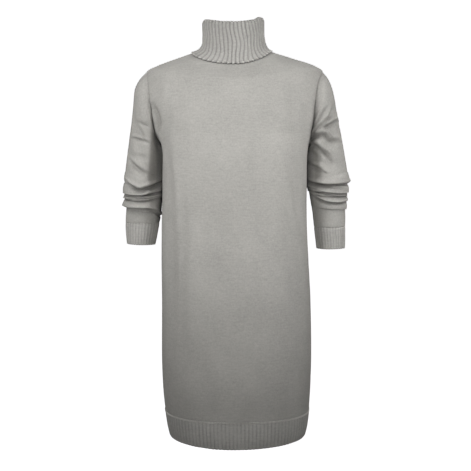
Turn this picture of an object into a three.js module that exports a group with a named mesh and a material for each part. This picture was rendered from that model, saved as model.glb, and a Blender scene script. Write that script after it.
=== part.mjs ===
// A straight, knee-length sweater dress in the hollow shape that it has when worn: front and back panels,
// dropped sleeves pushed up to the forearm, a folded roll neck, and ribbed cuffs and hem.
// Millimetres, +Z up, -Y to the front, +X to the wearer's left. The origin lies on the centre line at the
// height of the shoulder neck points.
import * as THREE from "three";

// Cloth
const WALL = 2.2; // plain jersey
const SEAM_GAP = 0.3; // between two pieces along the seam that joins them
const RIB_RAISE = 1.7; // how far a rib stands out of its wall

// Rib counts
const COLLAR_RIBS = 48;
const CUFF_RIBS = 32;
const HEM_RIBS_PER_PANEL = 56;
const COLUMNS_PER_RIB = 2;

// How finely the cloth is divided
const PANEL_COLUMNS = 24;
const SKIRT_ROWS = 9;
const ARMHOLE_ROWS = 12; // from underarm to shoulder tip, and half of the columns round a sleeve
const ARMHOLE_EVENNESS = 0.3; // 0 divides an armhole evenly by angle, 1 by height
const SHOULDER_ROWS = 4;

// Heights along a panel, measured up the side of the dress from the hem's edge
const HEM_SEAM_UP = 58;
const UNDERARM_UP = 668;
const SHOULDER_TIP_UP = 830;
const NECKLINE_UP = 950;

// How far round the body an armhole reaches in front and behind, as an angle about the dress's axis
const ARMHOLE_REACH = THREE.MathUtils.degToRad(15.5);

const table = (columns, rows) =>
  rows.map((row) => Object.fromEntries(columns.split(" ").map((name, i) => [name, row[i]])));

// Level rings round the torso: heights at the side, the front and the back, the half widths and half depths,
// and the squareness of the outline, 2 for an ellipse. Between underarm and shoulder tip the ends of a ring
// are cut away by the armholes.
const TORSO = table("up sideZ frontZ backZ right left front back square", [
  [0, -861, -869, -861, 153, 162, 127, 124, 2.4],
  [24, -838, -844, -837, 158, 167, 129, 126, 2.4],
  [48, -815, -818, -813, 161.5, 169.5, 129, 127, 2.4],
  [120, -744, -745, -743, 168, 173.5, 131, 129, 2.5],
  [190, -674, -674, -674, 170, 175, 130, 131, 2.5],
  [310, -554, -554, -554, 169, 172.5, 127, 131, 2.6],
  [400, -463, -463, -463, 169.5, 167.5, 123, 126, 2.6],
  [490, -374, -374, -374, 168.5, 163, 119, 117, 2.7],
  [560, -304, -304, -304, 166.5, 162, 121, 110, 2.8],
  [615, -249, -249, -249, 165.5, 162, 124, 109, 2.8],
  [645, -219, -219, -219, 165, 163, 123, 111, 2.75],
  [668, -197, -197, -197, 168.5, 166.5, 121, 113, 2.6],
  [698, -168, -166, -168, 190, 178, 118, 113, 2.15],
  [730, -137, -133, -137, 203, 189, 114, 110, 2.1],
  [775, -93, -89, -93, 214, 196, 106, 103, 2.1],
  [830, -33, -56, -40, 202, 198, 93, 88, 2.05],
  [860, -19.5, -47, -22, 179, 181, 89, 82, 2],
  [900, -3.5, -34, 2, 136, 133, 83, 74, 2],
  [950, 15, -15, 24, 82, 74, 69, 62, 2],
]);

// Soft upright folds of the torso: where they run, as degrees round from the wearer's left side and heights
// up the panel, how wide they are in degrees and how far they stand out, or in where negative.
const TORSO_FOLDS = table("lowUp highUp lowAngle highAngle width height", [
  [250, 640, 127, 142, 9, 3.2],
  [190, 560, 143, 152, 8, -3.4],
  [330, 640, 44, 58, 11, 2.6],
  [260, 600, 28, 40, 9, -2.6],
  [120, 560, 232, 222, 10, 2.6],
  [160, 600, 312, 322, 10, 2.8],
  [200, 520, 270, 268, 14, -2.4],
]);

// Rings down a sleeve after the armhole, each from its outermost to its innermost point. Sizes are taken
// from the centre line of the dress. depth is half the ring from front to back, midY its centre, frontDrop
// and backDrop how far it sags there, and puff how far the cloth swells between this ring and the next.
const SLEEVE_COLUMNS = "outX outZ inX inZ depth midY frontDrop backDrop puff";
const RIGHT_SLEEVE = table(SLEEVE_COLUMNS, [
  [218, -50, 170, -204, 56, 0, 0, 0, 0],
  [229, -74, 169, -214, 57, 0, 0, 0, 0],
  [232.5, -108, 168, -228, 57, 1, 0, 0, 0],
  [237, -148, 167.5, -243, 56, 2, 2, 0, 0],
  [243, -188, 167.5, -255, 55, 2, 3, 0, 0],
  [248, -226, 168, -264, 54, 2, 3, 1, 0],
  [251.5, -256, 168.5, -270, 54, 1, 5, 3, 3],
  [252, -279, 169, -280, 52, 0, 17, 7, 6],
  [252, -305, 169.5, -303, 51, 0, 4, 4, 4.5],
  [251.5, -318, 170.5, -316, 50, -1, 5, 3, 8],
  [249.5, -336, 171.5, -355, 43, -2, -3, 2, 0],
  [250.5, -347, 171, -360, 41, -2, 0, 0, 0],
  [251.5, -360, 172.5, -366, 39.5, -2, 0, 0, 0],
  [252, -373, 174.5, -374, 38, -3, 0, 0, 0],
  [251, -397, 179, -399, 37, -4, 0, 0, 0],
  [249, -421, 184, -423, 36, -5, 0, 0, 0],
]);
const LEFT_SLEEVE = table(SLEEVE_COLUMNS, [
  [209, -46, 168, -205, 56, 0, 0, 0, 0],
  [219, -68, 167, -216, 57, 0, 0, 0, 0],
  [227, -102, 165.5, -229, 57, 0, 0, 0, 0],
  [234, -140, 165.5, -243, 56, 1, 2, 0, 0],
  [242, -180, 165.5, -254, 55, 1, 2, 0, 0],
  [249.5, -222, 165, -262, 54, 0, 3, 2, 0],
  [255, -256, 164.5, -268, 54, 0, 5, 3, 5],
  [256, -284, 164, -280, 52, 0, 4, 4, 5],
  [253.5, -303, 164.5, -290, 51, 0, 5, 3, 4],
  [252.5, -312, 165.5, -296, 50, 0, 5, 3, 5.5],
  [252, -323, 168, -302, 45, -1, 8, 3, 4],
  [251, -343, 174.5, -338, 41, -2, 1, 1, 0],
  [252, -362, 177.5, -360, 39.5, -2, 0, 0, 0],
  [251.5, -382, 180, -383, 38, -3, 0, 0, 0],
  [251.5, -407, 183, -407, 37, -4, 0, 0, 0],
  [251, -431, 186, -432, 36, -5, 0, 0, 0],
]);
const CUFF_SEAM_RING = 14; // counted from the armhole, which is ring 0
const CUFF_EDGE_RING = 16;
const CUFF_RING_LENGTH = 24; // from one ring of a cuff to the next
const CUFF_SEAM_STEP = 17; // how far one ring is from the next where the cuff joins

// Rings from each sleeve ring to the next: one where the cloth is plain, three where it puffs into a fold.
const RINGS_IN_A_PUFF = 3;

// The larger creases of the upper sleeves: from one place to another, each given as degrees round the sleeve
// from its outer side by way of the front, and as a ring. Width and depth are the crease's own.
const CREASE_COLUMNS = "fromAngle fromRing toAngle toRing width depth";
const RIGHT_CREASES = table(CREASE_COLUMNS, [
  [25, 3.4, 75, 4.1, 7, 2.2],
  [45, 3.7, 95, 5.6, 8, 2.6],
  [15, 5.2, 80, 6.2, 8, 2.4],
  [200, 3.6, 285, 5.2, 9, 2.6],
]);
const LEFT_CREASES = table(CREASE_COLUMNS, [
  [12, 3.3, 75, 2.9, 7, 2.8],
  [20, 4.3, 100, 3.1, 8, 3.6],
  [45, 5.6, 110, 3.6, 9, 4.2],
  [70, 6.3, 120, 5.1, 9, 3.4],
  [205, 3.4, 290, 5.0, 9, 2.6],
]);
const CREASE_END = 0.08; // how much of its run a crease has already fallen short of at each end

// The folded collar above its free edge: heights as a share of the way up to the fold, with the half widths
// and half depths of the outer face between its ribs.
const COLLAR = table("share right left front back", [
  [0, 94, 83, 76, 68],
  [0.13, 79, 72, 72, 65],
  [0.3, 73.3, 66, 69, 62],
  [0.55, 73, 63.5, 66.5, 60],
  [0.85, 73.5, 63.5, 66, 60],
  [1, 72, 62.5, 64.5, 59],
]);
// How far past the neckline the collar's free edge spreads, and the height of its fold, by degrees round
// from the wearer's left side.
const COLLAR_RIM = table("angle spread foldZ", [
  [0, 6, 87],
  [28, 11.5, 85.5],
  [45, 19, 78],
  [57, 19.5, 74],
  [75, 16.5, 72.5],
  [90, 17, 72],
  [106, 20.5, 72.5],
  [121, 31, 73.5],
  [135, 37, 76],
  [150, 31, 79],
  [165, 20, 81.5],
  [180, 14, 83.5],
  [215, 9, 86],
  [270, 8, 88],
  [335, 6.5, 90],
  [360, 6, 87],
]);
const COLLAR_FOOT = 9; // how far past the neckline the heights of the turned-down layer are measured from
const COLLAR_REST = 0.9; // the free edge's clearance from the shoulders
const COLLAR_LAYER_GAP = 1.2; // between the two layers of the collar
const COLLAR_FOLD_SWELL = 3; // how much further apart the layers are at the fold
const FLAP_SHARES = [0.13, 0.4, 0.75];
const STAND_SHARES = [0.7, 0.3, 0.12];
const FOLD_STEPS = 3;

/** A value that passes smoothly through the rows of a table, without overshooting between them. */
function between(rows, key, name, at) {
  const last = rows.length - 2;
  let k = 0;
  while (k < last && rows[k + 1][key] < at) k += 1;
  const slope = (i) => (rows[i + 1][name] - rows[i][name]) / (rows[i + 1][key] - rows[i][key]);
  const tangent = (i) => {
    if (i === 0) return slope(0);
    if (i === rows.length - 1) return slope(i - 1);
    const [before, after] = [slope(i - 1), slope(i)];
    return before * after > 0 ? (2 * before * after) / (before + after) : 0;
  };
  const span = rows[k + 1][key] - rows[k][key];
  const t = THREE.MathUtils.clamp((at - rows[k][key]) / span, 0, 1);
  return (
    rows[k][name] * (1 + 2 * t) * (1 - t) ** 2 +
    tangent(k) * span * t * (1 - t) ** 2 +
    rows[k + 1][name] * t * t * (3 - 2 * t) +
    tangent(k + 1) * span * t * t * (t - 1)
  );
}

/** A bump that is 1 at the middle and falls smoothly to 0 at one width on each side. */
const bump = (offset) => (Math.abs(offset) < 1 ? (1 - offset * offset) ** 2 : 0);

/** A point of an oval with its own half width on each side and half depth in front and behind. */
function ovalPoint(angle, oval, z) {
  const [across, forward] = [Math.cos(angle), Math.sin(angle)];
  const halfWidth = across > 0 ? oval.left : oval.right;
  const halfDepth = forward > 0 ? oval.front : oval.back;
  const square = oval.square ?? 2;
  const sum = Math.abs(across / halfWidth) ** square + Math.abs(forward / halfDepth) ** square;
  const reach = sum ** (-1 / square);
  return new THREE.Vector3(reach * across, -reach * forward, z);
}

/** The outward normal of a surface given as a function of two parameters. */
function normalOf(surface, u, v, stepU, stepV) {
  const alongU = surface(u + stepU, v).sub(surface(u - stepU, v));
  const alongV = surface(u, v + stepV).sub(surface(u, v - stepV));
  return alongU.cross(alongV).normalize();
}

// Small steps for measuring a surface's slope
const ANGLE_STEP = 0.004;
const UP_STEP = 0.8;
const RING_STEP = 0.01;

/** The torso's outer face before its soft folds: angle 0 is the wearer's left, a quarter turn the front. */
function torsoForm(angle, up) {
  const at = THREE.MathUtils.clamp(up, 0, NECKLINE_UP);
  const names = ["sideZ", "frontZ", "backZ", "right", "left", "front", "back", "square"];
  const row = Object.fromEntries(names.map((name) => [name, between(TORSO, "up", name, at)]));
  const forward = Math.sin(angle);
  const dip = (forward > 0 ? row.frontZ : row.backZ) - row.sideZ;
  return ovalPoint(angle, row, row.sideZ + dip * forward * forward + (up - at));
}

function torsoFoldHeight(angle, up) {
  const degrees = THREE.MathUtils.euclideanModulo(THREE.MathUtils.radToDeg(angle), 360);
  return TORSO_FOLDS.reduce((sum, fold) => {
    const share = (up - fold.lowUp) / (fold.highUp - fold.lowUp);
    if (share <= 0 || share >= 1) return sum;
    const middle = THREE.MathUtils.lerp(fold.lowAngle, fold.highAngle, share);
    return sum + fold.height * Math.sin(Math.PI * share) * bump((degrees - middle) / (2 * fold.width));
  }, 0);
}

/** The torso's outer face with its soft folds. */
function torso(angle, up) {
  const point = torsoForm(angle, up);
  const height = torsoFoldHeight(angle, up);
  if (height === 0) return point;
  return point.addScaledVector(normalOf(torsoForm, angle, up, ANGLE_STEP, UP_STEP), -height);
}

/** The angle round an armhole of one of its points, counted from the shoulder tip. */
function armholeAngle(index) {
  const turn = index / ARMHOLE_ROWS;
  const byAngle = (1 - Math.cos(Math.PI * turn)) / 2;
  return Math.acos(1 - 2 * THREE.MathUtils.lerp(byAngle, turn, ARMHOLE_EVENNESS));
}

/** The angles of all the columns round a sleeve, from its outer side by way of the front. */
function sleeveAngles() {
  const front = Array.from({ length: ARMHOLE_ROWS + 1 }, (_, i) => armholeAngle(i));
  const back = front.slice(1, -1).reverse();
  return [...front, ...back.map((angle) => 2 * Math.PI - angle)];
}

/** Where an armhole's edge lies, by the angle round the sleeve: 0 at the shoulder, half a turn underarm. */
function armholePoint(side, angle) {
  const up = THREE.MathUtils.lerp(SHOULDER_TIP_UP, UNDERARM_UP, (1 - Math.cos(angle)) / 2);
  const reach = ARMHOLE_REACH * Math.sin(angle);
  return torso(side > 0 ? reach : Math.PI - reach, up);
}

const SHOULDER_SLOPE = 0.5; // how steeply a sleeve leaves the shoulder tip, down for each unit out

/** The seam frame of an armhole: out along the sleeve, and the normal that both walls share. */
function armholeFrame(side, angle) {
  const [before, after] = [-ANGLE_STEP, ANGLE_STEP].map((step) => armholePoint(side, angle + step));
  const tangent = after.sub(before).normalize();
  const slope = SHOULDER_SLOPE * ((1 + Math.cos(angle)) / 2) ** 2;
  const out = new THREE.Vector3(side, 0, -slope).normalize();
  const normal = tangent.clone().cross(out).multiplyScalar(side).normalize();
  return { out: normal.clone().cross(tangent).multiplyScalar(side).normalize(), normal };
}

/** A ring of a sleeve at one of the rows of its table, with the armhole as ring 0. */
function sleeveRingPoint(side, rows, angle, ring) {
  if (ring === 0) return armholePoint(side, angle);
  const row = rows[ring - 1];
  const outward = (1 + Math.cos(angle)) / 2;
  const forward = Math.sin(angle);
  const drop = (forward > 0 ? row.frontDrop : row.backDrop) * forward * forward;
  return new THREE.Vector3(
    side * THREE.MathUtils.lerp(row.inX, row.outX, outward),
    row.midY - row.depth * forward,
    THREE.MathUtils.lerp(row.inZ, row.outZ, outward) - drop,
  );
}

/** A sleeve's outer face before its folds, at any place between the rings. */
function sleeveForm(side, rows, angle, ring) {
  const at = THREE.MathUtils.clamp(ring, 0, CUFF_EDGE_RING);
  const first = Math.max(0, Math.min(CUFF_EDGE_RING - 3, Math.floor(at) - 1));
  const column = [0, 1, 2, 3].map((i) => ({
    ring: first + i,
    ...sleeveRingPoint(side, rows, angle, first + i),
  }));
  const point = new THREE.Vector3(...["x", "y", "z"].map((axis) => between(column, "ring", axis, at)));
  point.z -= (ring - at) * CUFF_RING_LENGTH;
  return point;
}

/** How far a crease presses the cloth in at a point. */
function creaseDepth(crease, ends, point) {
  const along = ends[1].clone().sub(ends[0]);
  const share = THREE.MathUtils.clamp(point.clone().sub(ends[0]).dot(along) / along.lengthSq(), 0, 1);
  const middle = ends[0].clone().addScaledVector(along, share);
  const fade = Math.sqrt(Math.sin(Math.PI * THREE.MathUtils.lerp(CREASE_END, 1 - CREASE_END, share)));
  return crease.depth * fade * bump(point.distanceTo(middle) / (2 * crease.width));
}

// A sleeve fold is fullest below its middle and hangs down by a share of its height. It lies nearly flat
// where the sleeve meets the body.
const PUFF_RISE = 0.6;
const PUFF_FALL = 0.35;
const PUFF_DROOP = 0.45;
const PUFF_AT_BODY = 0.12;

/** The height of a hanging fold across its width, as a share of its full height. */
function hangingFold(share) {
  const peak = PUFF_RISE / (PUFF_RISE + PUFF_FALL);
  const height = (at) => at ** PUFF_RISE * (1 - at) ** PUFF_FALL;
  return height(share) / height(peak);
}

/** A sleeve with its folds, as a surface of the angle round it and the ring down it. */
function sleeveSurface(side, rows, creases) {
  const form = (angle, ring) => sleeveForm(side, rows, angle, ring);
  const placed = creases.map((crease) => ({
    crease,
    ends: [
      form(THREE.MathUtils.degToRad(crease.fromAngle), crease.fromRing),
      form(THREE.MathUtils.degToRad(crease.toAngle), crease.toRing),
    ],
  }));
  return (angle, ring) => {
    const point = form(angle, ring);
    const row = rows[Math.floor(ring) - 1];
    const freedom = Math.min(1, PUFF_AT_BODY + 1 + Math.cos(angle));
    const swell = row ? row.puff * freedom * hangingFold(ring % 1) : 0;
    const press = placed.reduce((sum, { crease, ends }) => sum + creaseDepth(crease, ends, point), 0);
    if (swell === 0 && press === 0) return point;
    point.addScaledVector(normalOf(form, angle, ring, ANGLE_STEP, RING_STEP), side * (swell - press));
    point.z -= PUFF_DROOP * swell;
    return point;
  };
}

/** A closed solid from two grids of points, the outer face and the inner, each rows of columns. */
function wallGeometry(outer, inner, isTube) {
  const [rows, columns] = [outer.length, outer[0].length];
  const positions = [...outer.flat(), ...inner.flat()].flatMap((p) => [p.x, p.y, p.z]);
  const at = (face, j, i) => face * rows * columns + j * columns + (i % columns);
  const index = [];
  const quad = (a, b, c, d) => index.push(a, b, c, a, c, d);
  const lastColumn = isTube ? columns : columns - 1;
  for (let j = 0; j < rows - 1; j += 1) {
    for (let i = 0; i < lastColumn; i += 1) {
      quad(at(0, j, i), at(0, j, i + 1), at(0, j + 1, i + 1), at(0, j + 1, i));
      quad(at(1, j, i), at(1, j + 1, i), at(1, j + 1, i + 1), at(1, j, i + 1));
    }
  }
  for (let i = 0; i < lastColumn; i += 1) {
    quad(at(0, 0, i), at(1, 0, i), at(1, 0, i + 1), at(0, 0, i + 1));
    quad(at(0, rows - 1, i), at(0, rows - 1, i + 1), at(1, rows - 1, i + 1), at(1, rows - 1, i));
  }
  const end = columns - 1;
  for (let j = 0; !isTube && j < rows - 1; j += 1) {
    quad(at(0, j, 0), at(0, j + 1, 0), at(1, j + 1, 0), at(1, j, 0));
    quad(at(0, j, end), at(1, j, end), at(1, j + 1, end), at(0, j + 1, end));
  }
  const geometry = new THREE.BufferGeometry();
  geometry.setAttribute("position", new THREE.Float32BufferAttribute(positions, 3));
  geometry.setIndex(index);
  geometry.computeVertexNormals();
  return geometry;
}

/** Both faces of a wall from places on a surface, each with its point, outward normal and rib height. */
function wallFrom(places, isTube, turned = false) {
  const rows = turned ? places.map((row) => [...row].reverse()) : places;
  const raised = ({ point, normal, rib = 0 }) => point.clone().addScaledVector(normal, rib);
  const sunk = ({ point, normal }) => point.clone().addScaledVector(normal, -WALL);
  return wallGeometry(rows.map((row) => row.map(raised)), rows.map((row) => row.map(sunk)), isTube);
}

const torsoNormal = (angle, up) => normalOf(torso, angle, up, ANGLE_STEP, UP_STEP).negate();

/** The angle that lies half a seam gap further round the torso. */
function pastSeam(angle, up, direction) {
  const speed = torso(angle + ANGLE_STEP, up).distanceTo(torso(angle - ANGLE_STEP, up)) / (2 * ANGLE_STEP);
  return angle + (direction * SEAM_GAP) / 2 / speed;
}

/** Heights of a panel's rows from the hem seam to the neckline, closer together round the armhole. */
function panelHeights() {
  const heights = [];
  for (let i = 0; i < SKIRT_ROWS; i += 1) {
    heights.push({ up: THREE.MathUtils.lerp(HEM_SEAM_UP, UNDERARM_UP, i / SKIRT_ROWS) });
  }
  for (let i = ARMHOLE_ROWS; i >= 0; i -= 1) {
    const armAngle = armholeAngle(i);
    const share = (1 - Math.cos(armAngle)) / 2;
    heights.push({ up: THREE.MathUtils.lerp(SHOULDER_TIP_UP, UNDERARM_UP, share), armAngle });
  }
  for (let i = 1; i <= SHOULDER_ROWS; i += 1) {
    heights.push({ up: THREE.MathUtils.lerp(SHOULDER_TIP_UP, NECKLINE_UP, i / SHOULDER_ROWS) });
  }
  return heights;
}

/** The front or the back of the dress, from the hem seam to the shoulder seams and the neckline. */
function panelGeometry(isFront) {
  const [facing, start] = isFront ? [1, 0] : [-1, Math.PI];
  const heights = panelHeights();
  const places = heights.map(({ up, armAngle }, j) => {
    const seamUp = j === 0 ? up + SEAM_GAP / 2 : up;
    const reach = armAngle === undefined ? 0 : ARMHOLE_REACH * Math.sin(armAngle);
    const first = pastSeam(start + reach, seamUp, 1) - reach;
    const last = pastSeam(start + Math.PI - reach, seamUp, -1) + reach;
    return Array.from({ length: PANEL_COLUMNS + 1 }, (_, i) => {
      const share = i / PANEL_COLUMNS;
      const angle = THREE.MathUtils.lerp(first, last, share) + reach * (1 - 2 * share) ** 3;
      const place = { point: torso(angle, seamUp), normal: torsoNormal(angle, seamUp) };
      const isEdge = i === 0 || i === PANEL_COLUMNS;
      if (!isEdge || armAngle === undefined) return place;
      const side = Math.cos(angle) > 0 ? 1 : -1;
      const frame = armholeFrame(side, facing * armAngle);
      const point = armholePoint(side, facing * armAngle).addScaledVector(frame.out, -SEAM_GAP / 2);
      const isCorner = armAngle < ANGLE_STEP || armAngle > Math.PI - ANGLE_STEP;
      if (isCorner) point.y -= (facing * SEAM_GAP) / 2;
      return { point, normal: frame.normal };
    });
  });
  return wallFrom(places, false, true);
}

const GIRTH_STEPS = 4; // measured for each angle wanted
const GIRTH_ROUNDING = 1e-6;

/** Angles that share the torso's girth evenly at one height. */
function evenAngles(from, to, up, count) {
  const fine = count * GIRTH_STEPS;
  const girth = [0];
  const angles = Array.from({ length: fine + 1 }, (_, i) => THREE.MathUtils.lerp(from, to, i / fine));
  for (let i = 1; i <= fine; i += 1) {
    girth.push(girth[i - 1] + torso(angles[i], up).distanceTo(torso(angles[i - 1], up)));
  }
  return Array.from({ length: count + 1 }, (_, i) => {
    const wanted = (girth[fine] * i) / count;
    const k = Math.max(1, girth.findIndex((length) => length >= wanted - GIRTH_ROUNDING));
    const share = (wanted - girth[k - 1]) / (girth[k] - girth[k - 1]);
    return THREE.MathUtils.lerp(angles[k - 1], angles[k], share);
  });
}

/** Angles all round for the columns of so many ribs. */
const evenTurn = (ribs) =>
  Array.from({ length: ribs * COLUMNS_PER_RIB }, (_, i) => (2 * Math.PI * i) / (ribs * COLUMNS_PER_RIB));

const ribAt = (column) => (column % COLUMNS_PER_RIB === 1 ? RIB_RAISE : 0);

/** Half of the ribbed hem, under the front or the back. */
function hemGeometry(isFront) {
  const start = isFront ? 0 : Math.PI;
  const columns = HEM_RIBS_PER_PANEL * COLUMNS_PER_RIB;
  const places = [0, HEM_SEAM_UP - SEAM_GAP / 2].map((up) => {
    const ends = [pastSeam(start, up, 1), pastSeam(start + Math.PI, up, -1)];
    return evenAngles(ends[0], ends[1], up, columns).map((angle, i) => ({
      point: torso(angle, up),
      normal: torsoNormal(angle, up),
      rib: ribAt(i),
    }));
  });
  return wallFrom(places, false, true);
}

/** Places on a sleeve's surface round one ring. */
function ringPlaces(surface, side, ring, angles) {
  return angles.map((angle) => {
    const normal = normalOf(surface, angle, ring, ANGLE_STEP, RING_STEP).multiplyScalar(side);
    return { point: surface(angle, ring), normal };
  });
}

/** A sleeve from the armhole to the cuff seam. */
function sleeveGeometry(side, rows, creases) {
  const surface = sleeveSurface(side, rows, creases);
  const angles = sleeveAngles();
  const armhole = angles.map((angle) => {
    const { out, normal } = armholeFrame(side, angle);
    return { point: armholePoint(side, angle).addScaledVector(out, SEAM_GAP / 2), normal };
  });
  const places = [armhole];
  for (let ring = 1; ring < CUFF_SEAM_RING; ring += 1) {
    const steps = rows[ring - 1].puff > 0 ? RINGS_IN_A_PUFF : 1;
    for (let i = 0; i < steps; i += 1) places.push(ringPlaces(surface, side, ring + i / steps, angles));
  }
  places.push(ringPlaces(surface, side, CUFF_SEAM_RING - SEAM_GAP / 2 / CUFF_SEAM_STEP, angles));
  return wallFrom(places, true, side < 0);
}

/** A ribbed cuff, from its seam to its edge. */
function cuffGeometry(side, rows) {
  const surface = sleeveSurface(side, rows, []);
  const rings = [CUFF_SEAM_RING + SEAM_GAP / 2 / CUFF_SEAM_STEP, CUFF_EDGE_RING];
  const places = rings.map((ring) =>
    ringPlaces(surface, side, ring, evenTurn(CUFF_RIBS)).map((place, i) => ({ ...place, rib: ribAt(i) })),
  );
  return wallFrom(places, true, side < 0);
}

const collarRim = (angle, name) =>
  between(COLLAR_RIM, "angle", name, THREE.MathUtils.euclideanModulo(THREE.MathUtils.radToDeg(angle), 360));

/** The free edge of the collar's turned-down layer, where it rests round the neckline. */
function collarFreeEdge(angle) {
  const up = NECKLINE_UP - collarRim(angle, "spread");
  const point = torso(angle, up).addScaledVector(torsoNormal(angle, up), COLLAR_REST);
  const out = new THREE.Vector3(point.x, point.y, 0).normalize();
  return { point: point.addScaledVector(out, WALL), normal: out };
}

/** The collar's outer face between its ribs, by angle and by its share of the way up to the fold. */
function collarFace(angle, share) {
  const names = ["right", "left", "front", "back"];
  const oval = Object.fromEntries(names.map((name) => [name, between(COLLAR, "share", name, share)]));
  const footZ = torso(angle, NECKLINE_UP - COLLAR_FOOT).z;
  const point = ovalPoint(angle, oval, THREE.MathUtils.lerp(footZ, collarRim(angle, "foldZ"), share));
  return { point, normal: new THREE.Vector3(point.x, point.y, 0).normalize() };
}

/** The neckline between the panels' own points, so that the collar meets their straight edges. */
function necklineChord(angle) {
  const step = Math.PI / PANEL_COLUMNS;
  const first = Math.floor(angle / step + ANGLE_STEP) * step;
  const share = (angle - first) / step;
  return {
    point: torso(first, NECKLINE_UP).lerp(torso(first + step, NECKLINE_UP), share),
    normal: torsoNormal(first, NECKLINE_UP).lerp(torsoNormal(first + step, NECKLINE_UP), share).normalize(),
  };
}

/** One column of the collar's wall: up the turned-down layer, over the fold, and down the stand. */
function collarColumn(angle) {
  const layersApart = (share) => WALL + COLLAR_LAYER_GAP + COLLAR_FOLD_SWELL * share ** 3;
  const flap = FLAP_SHARES.map((share) => collarFace(angle, share));
  const top = collarFace(angle, 1);
  const radius = (layersApart(1) + WALL) / 2;
  const centre = top.point.clone().addScaledVector(top.normal, -radius);
  centre.z -= radius;
  const fold = Array.from({ length: FOLD_STEPS }, (_, i) => {
    const turn = (Math.PI * (i + 0.5)) / FOLD_STEPS;
    const normal = top.normal.clone().multiplyScalar(Math.cos(turn));
    normal.z = Math.sin(turn);
    return { point: centre.clone().addScaledVector(normal, radius), normal };
  });
  const stand = STAND_SHARES.map((share) => {
    const { point, normal } = collarFace(angle, share);
    point.addScaledVector(normal, -layersApart(share) - WALL);
    return { point, normal: normal.negate() };
  });
  const seam = necklineChord(angle);
  const upward = torso(angle, NECKLINE_UP).sub(torso(angle, NECKLINE_UP - UP_STEP)).normalize();
  const seamPoint = seam.point.addScaledVector(seam.normal, -WALL).addScaledVector(upward, SEAM_GAP);
  const seamEdge = { point: seamPoint, normal: seam.normal.negate() };
  return [collarFreeEdge(angle), ...flap, ...fold, ...stand, seamEdge];
}

/** The roll collar as one folded wall: its turned-down layer, its fold, and the stand inside. */
function collarGeometry() {
  const columns = evenTurn(COLLAR_RIBS).map(collarColumn);
  const seamRow = columns[0].length - 1;
  const places = columns[0].map((_, j) =>
    columns.map((column, i) => ({ ...column[j], rib: j === seamRow ? 0 : ribAt(i) })),
  );
  return wallFrom(places, true, true);
}

const cloth = (colour) => new THREE.MeshStandardMaterial({ color: colour, roughness: 0.9, metalness: 0 });
const JERSEY = cloth(0xa9a7a2);
const RIB = cloth(0xa3a19c);

const PIECES = [
  ["front", panelGeometry(true), JERSEY],
  ["back", panelGeometry(false), JERSEY],
  ["sleeve_right", sleeveGeometry(-1, RIGHT_SLEEVE, RIGHT_CREASES), JERSEY],
  ["sleeve_left", sleeveGeometry(1, LEFT_SLEEVE, LEFT_CREASES), JERSEY],
  ["cuff_right", cuffGeometry(-1, RIGHT_SLEEVE), RIB],
  ["cuff_left", cuffGeometry(1, LEFT_SLEEVE), RIB],
  ["collar", collarGeometry(), RIB],
  ["hem_rib_front", hemGeometry(true), RIB],
  ["hem_rib_back", hemGeometry(false), RIB],
];

const dress = new THREE.Group();
for (const [name, geometry, material] of PIECES) {
  const mesh = new THREE.Mesh(geometry, material);
  mesh.name = name;
  dress.add(mesh);
}

export default dress;
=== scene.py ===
"""A straight, knee-length sweater dress with a folded roll neck, hollow as when it is worn.

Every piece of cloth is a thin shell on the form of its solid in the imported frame, with its folds, ribs and
stitches. Tables and fields are in millimetres and meshes in metres. +Z is up, -Y is the front and +X is the
wearer's left.
"""
import logging
import math
from collections.abc import Callable
from dataclasses import dataclass, field
from enum import Enum

import bpy
import numpy as np
from bpy.types import ID, Material, Mesh, Node, NodeSocket, NodeTree, Object
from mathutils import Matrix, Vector


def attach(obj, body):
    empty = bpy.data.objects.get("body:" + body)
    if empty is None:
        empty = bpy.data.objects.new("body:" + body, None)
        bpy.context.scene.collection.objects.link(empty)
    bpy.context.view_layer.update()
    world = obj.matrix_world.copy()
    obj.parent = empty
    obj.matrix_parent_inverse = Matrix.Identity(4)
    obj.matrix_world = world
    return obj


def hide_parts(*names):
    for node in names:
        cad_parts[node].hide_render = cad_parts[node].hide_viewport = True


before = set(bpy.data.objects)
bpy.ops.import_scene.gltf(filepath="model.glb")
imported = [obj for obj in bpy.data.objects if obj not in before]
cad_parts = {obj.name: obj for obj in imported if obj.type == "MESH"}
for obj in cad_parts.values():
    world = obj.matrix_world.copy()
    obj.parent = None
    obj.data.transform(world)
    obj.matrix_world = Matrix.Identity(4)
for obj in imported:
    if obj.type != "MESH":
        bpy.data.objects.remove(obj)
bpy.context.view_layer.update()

log = logging.getLogger("sweater_dress")

MM = 0.001
BODY = "root"  # the one body that all the cloth belongs to
WALL = 2.2  # the cloth's thickness
SEAM_GAP = 0.1  # between two pieces along the seam that joins them

MATH = "ShaderNodeMath"
Array = np.ndarray
Form = Callable[[Array, Array], Array]


def linear(code: str) -> tuple[float, float, float, float]:
    """Turns an sRGB colour into the linear one that shaders take.

    Args:
        code: six hexadecimal digits.

    Returns:
        Red, green, blue and alpha.
    """
    shares = [int(code[i : i + 2], 16) / 255 for i in (0, 2, 4)]
    red, green, blue = [c / 12.92 if c <= 0.04045 else ((c + 0.055) / 1.055) ** 2.4 for c in shares]
    return red, green, blue, 1.0


def add(tree: NodeTree, kind: str, settings: dict | None = None, links: dict | None = None) -> Node:
    """Adds a node to a tree.

    Args:
        tree: the shader or geometry tree.
        kind: the node's type.
        settings: its properties by name.
        links: for each input, by name or number, what feeds it: a socket, a node with one output or a value.

    Returns:
        The new node.
    """
    node = tree.nodes.new(kind)
    for name, value in (settings or {}).items():
        setattr(node, name, value)
    for name, value in (links or {}).items():
        source = value.outputs[0] if isinstance(value, Node) else value
        if isinstance(source, NodeSocket):
            tree.links.new(source, node.inputs[name])
        else:
            node.inputs[name].default_value = source
    return node


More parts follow.
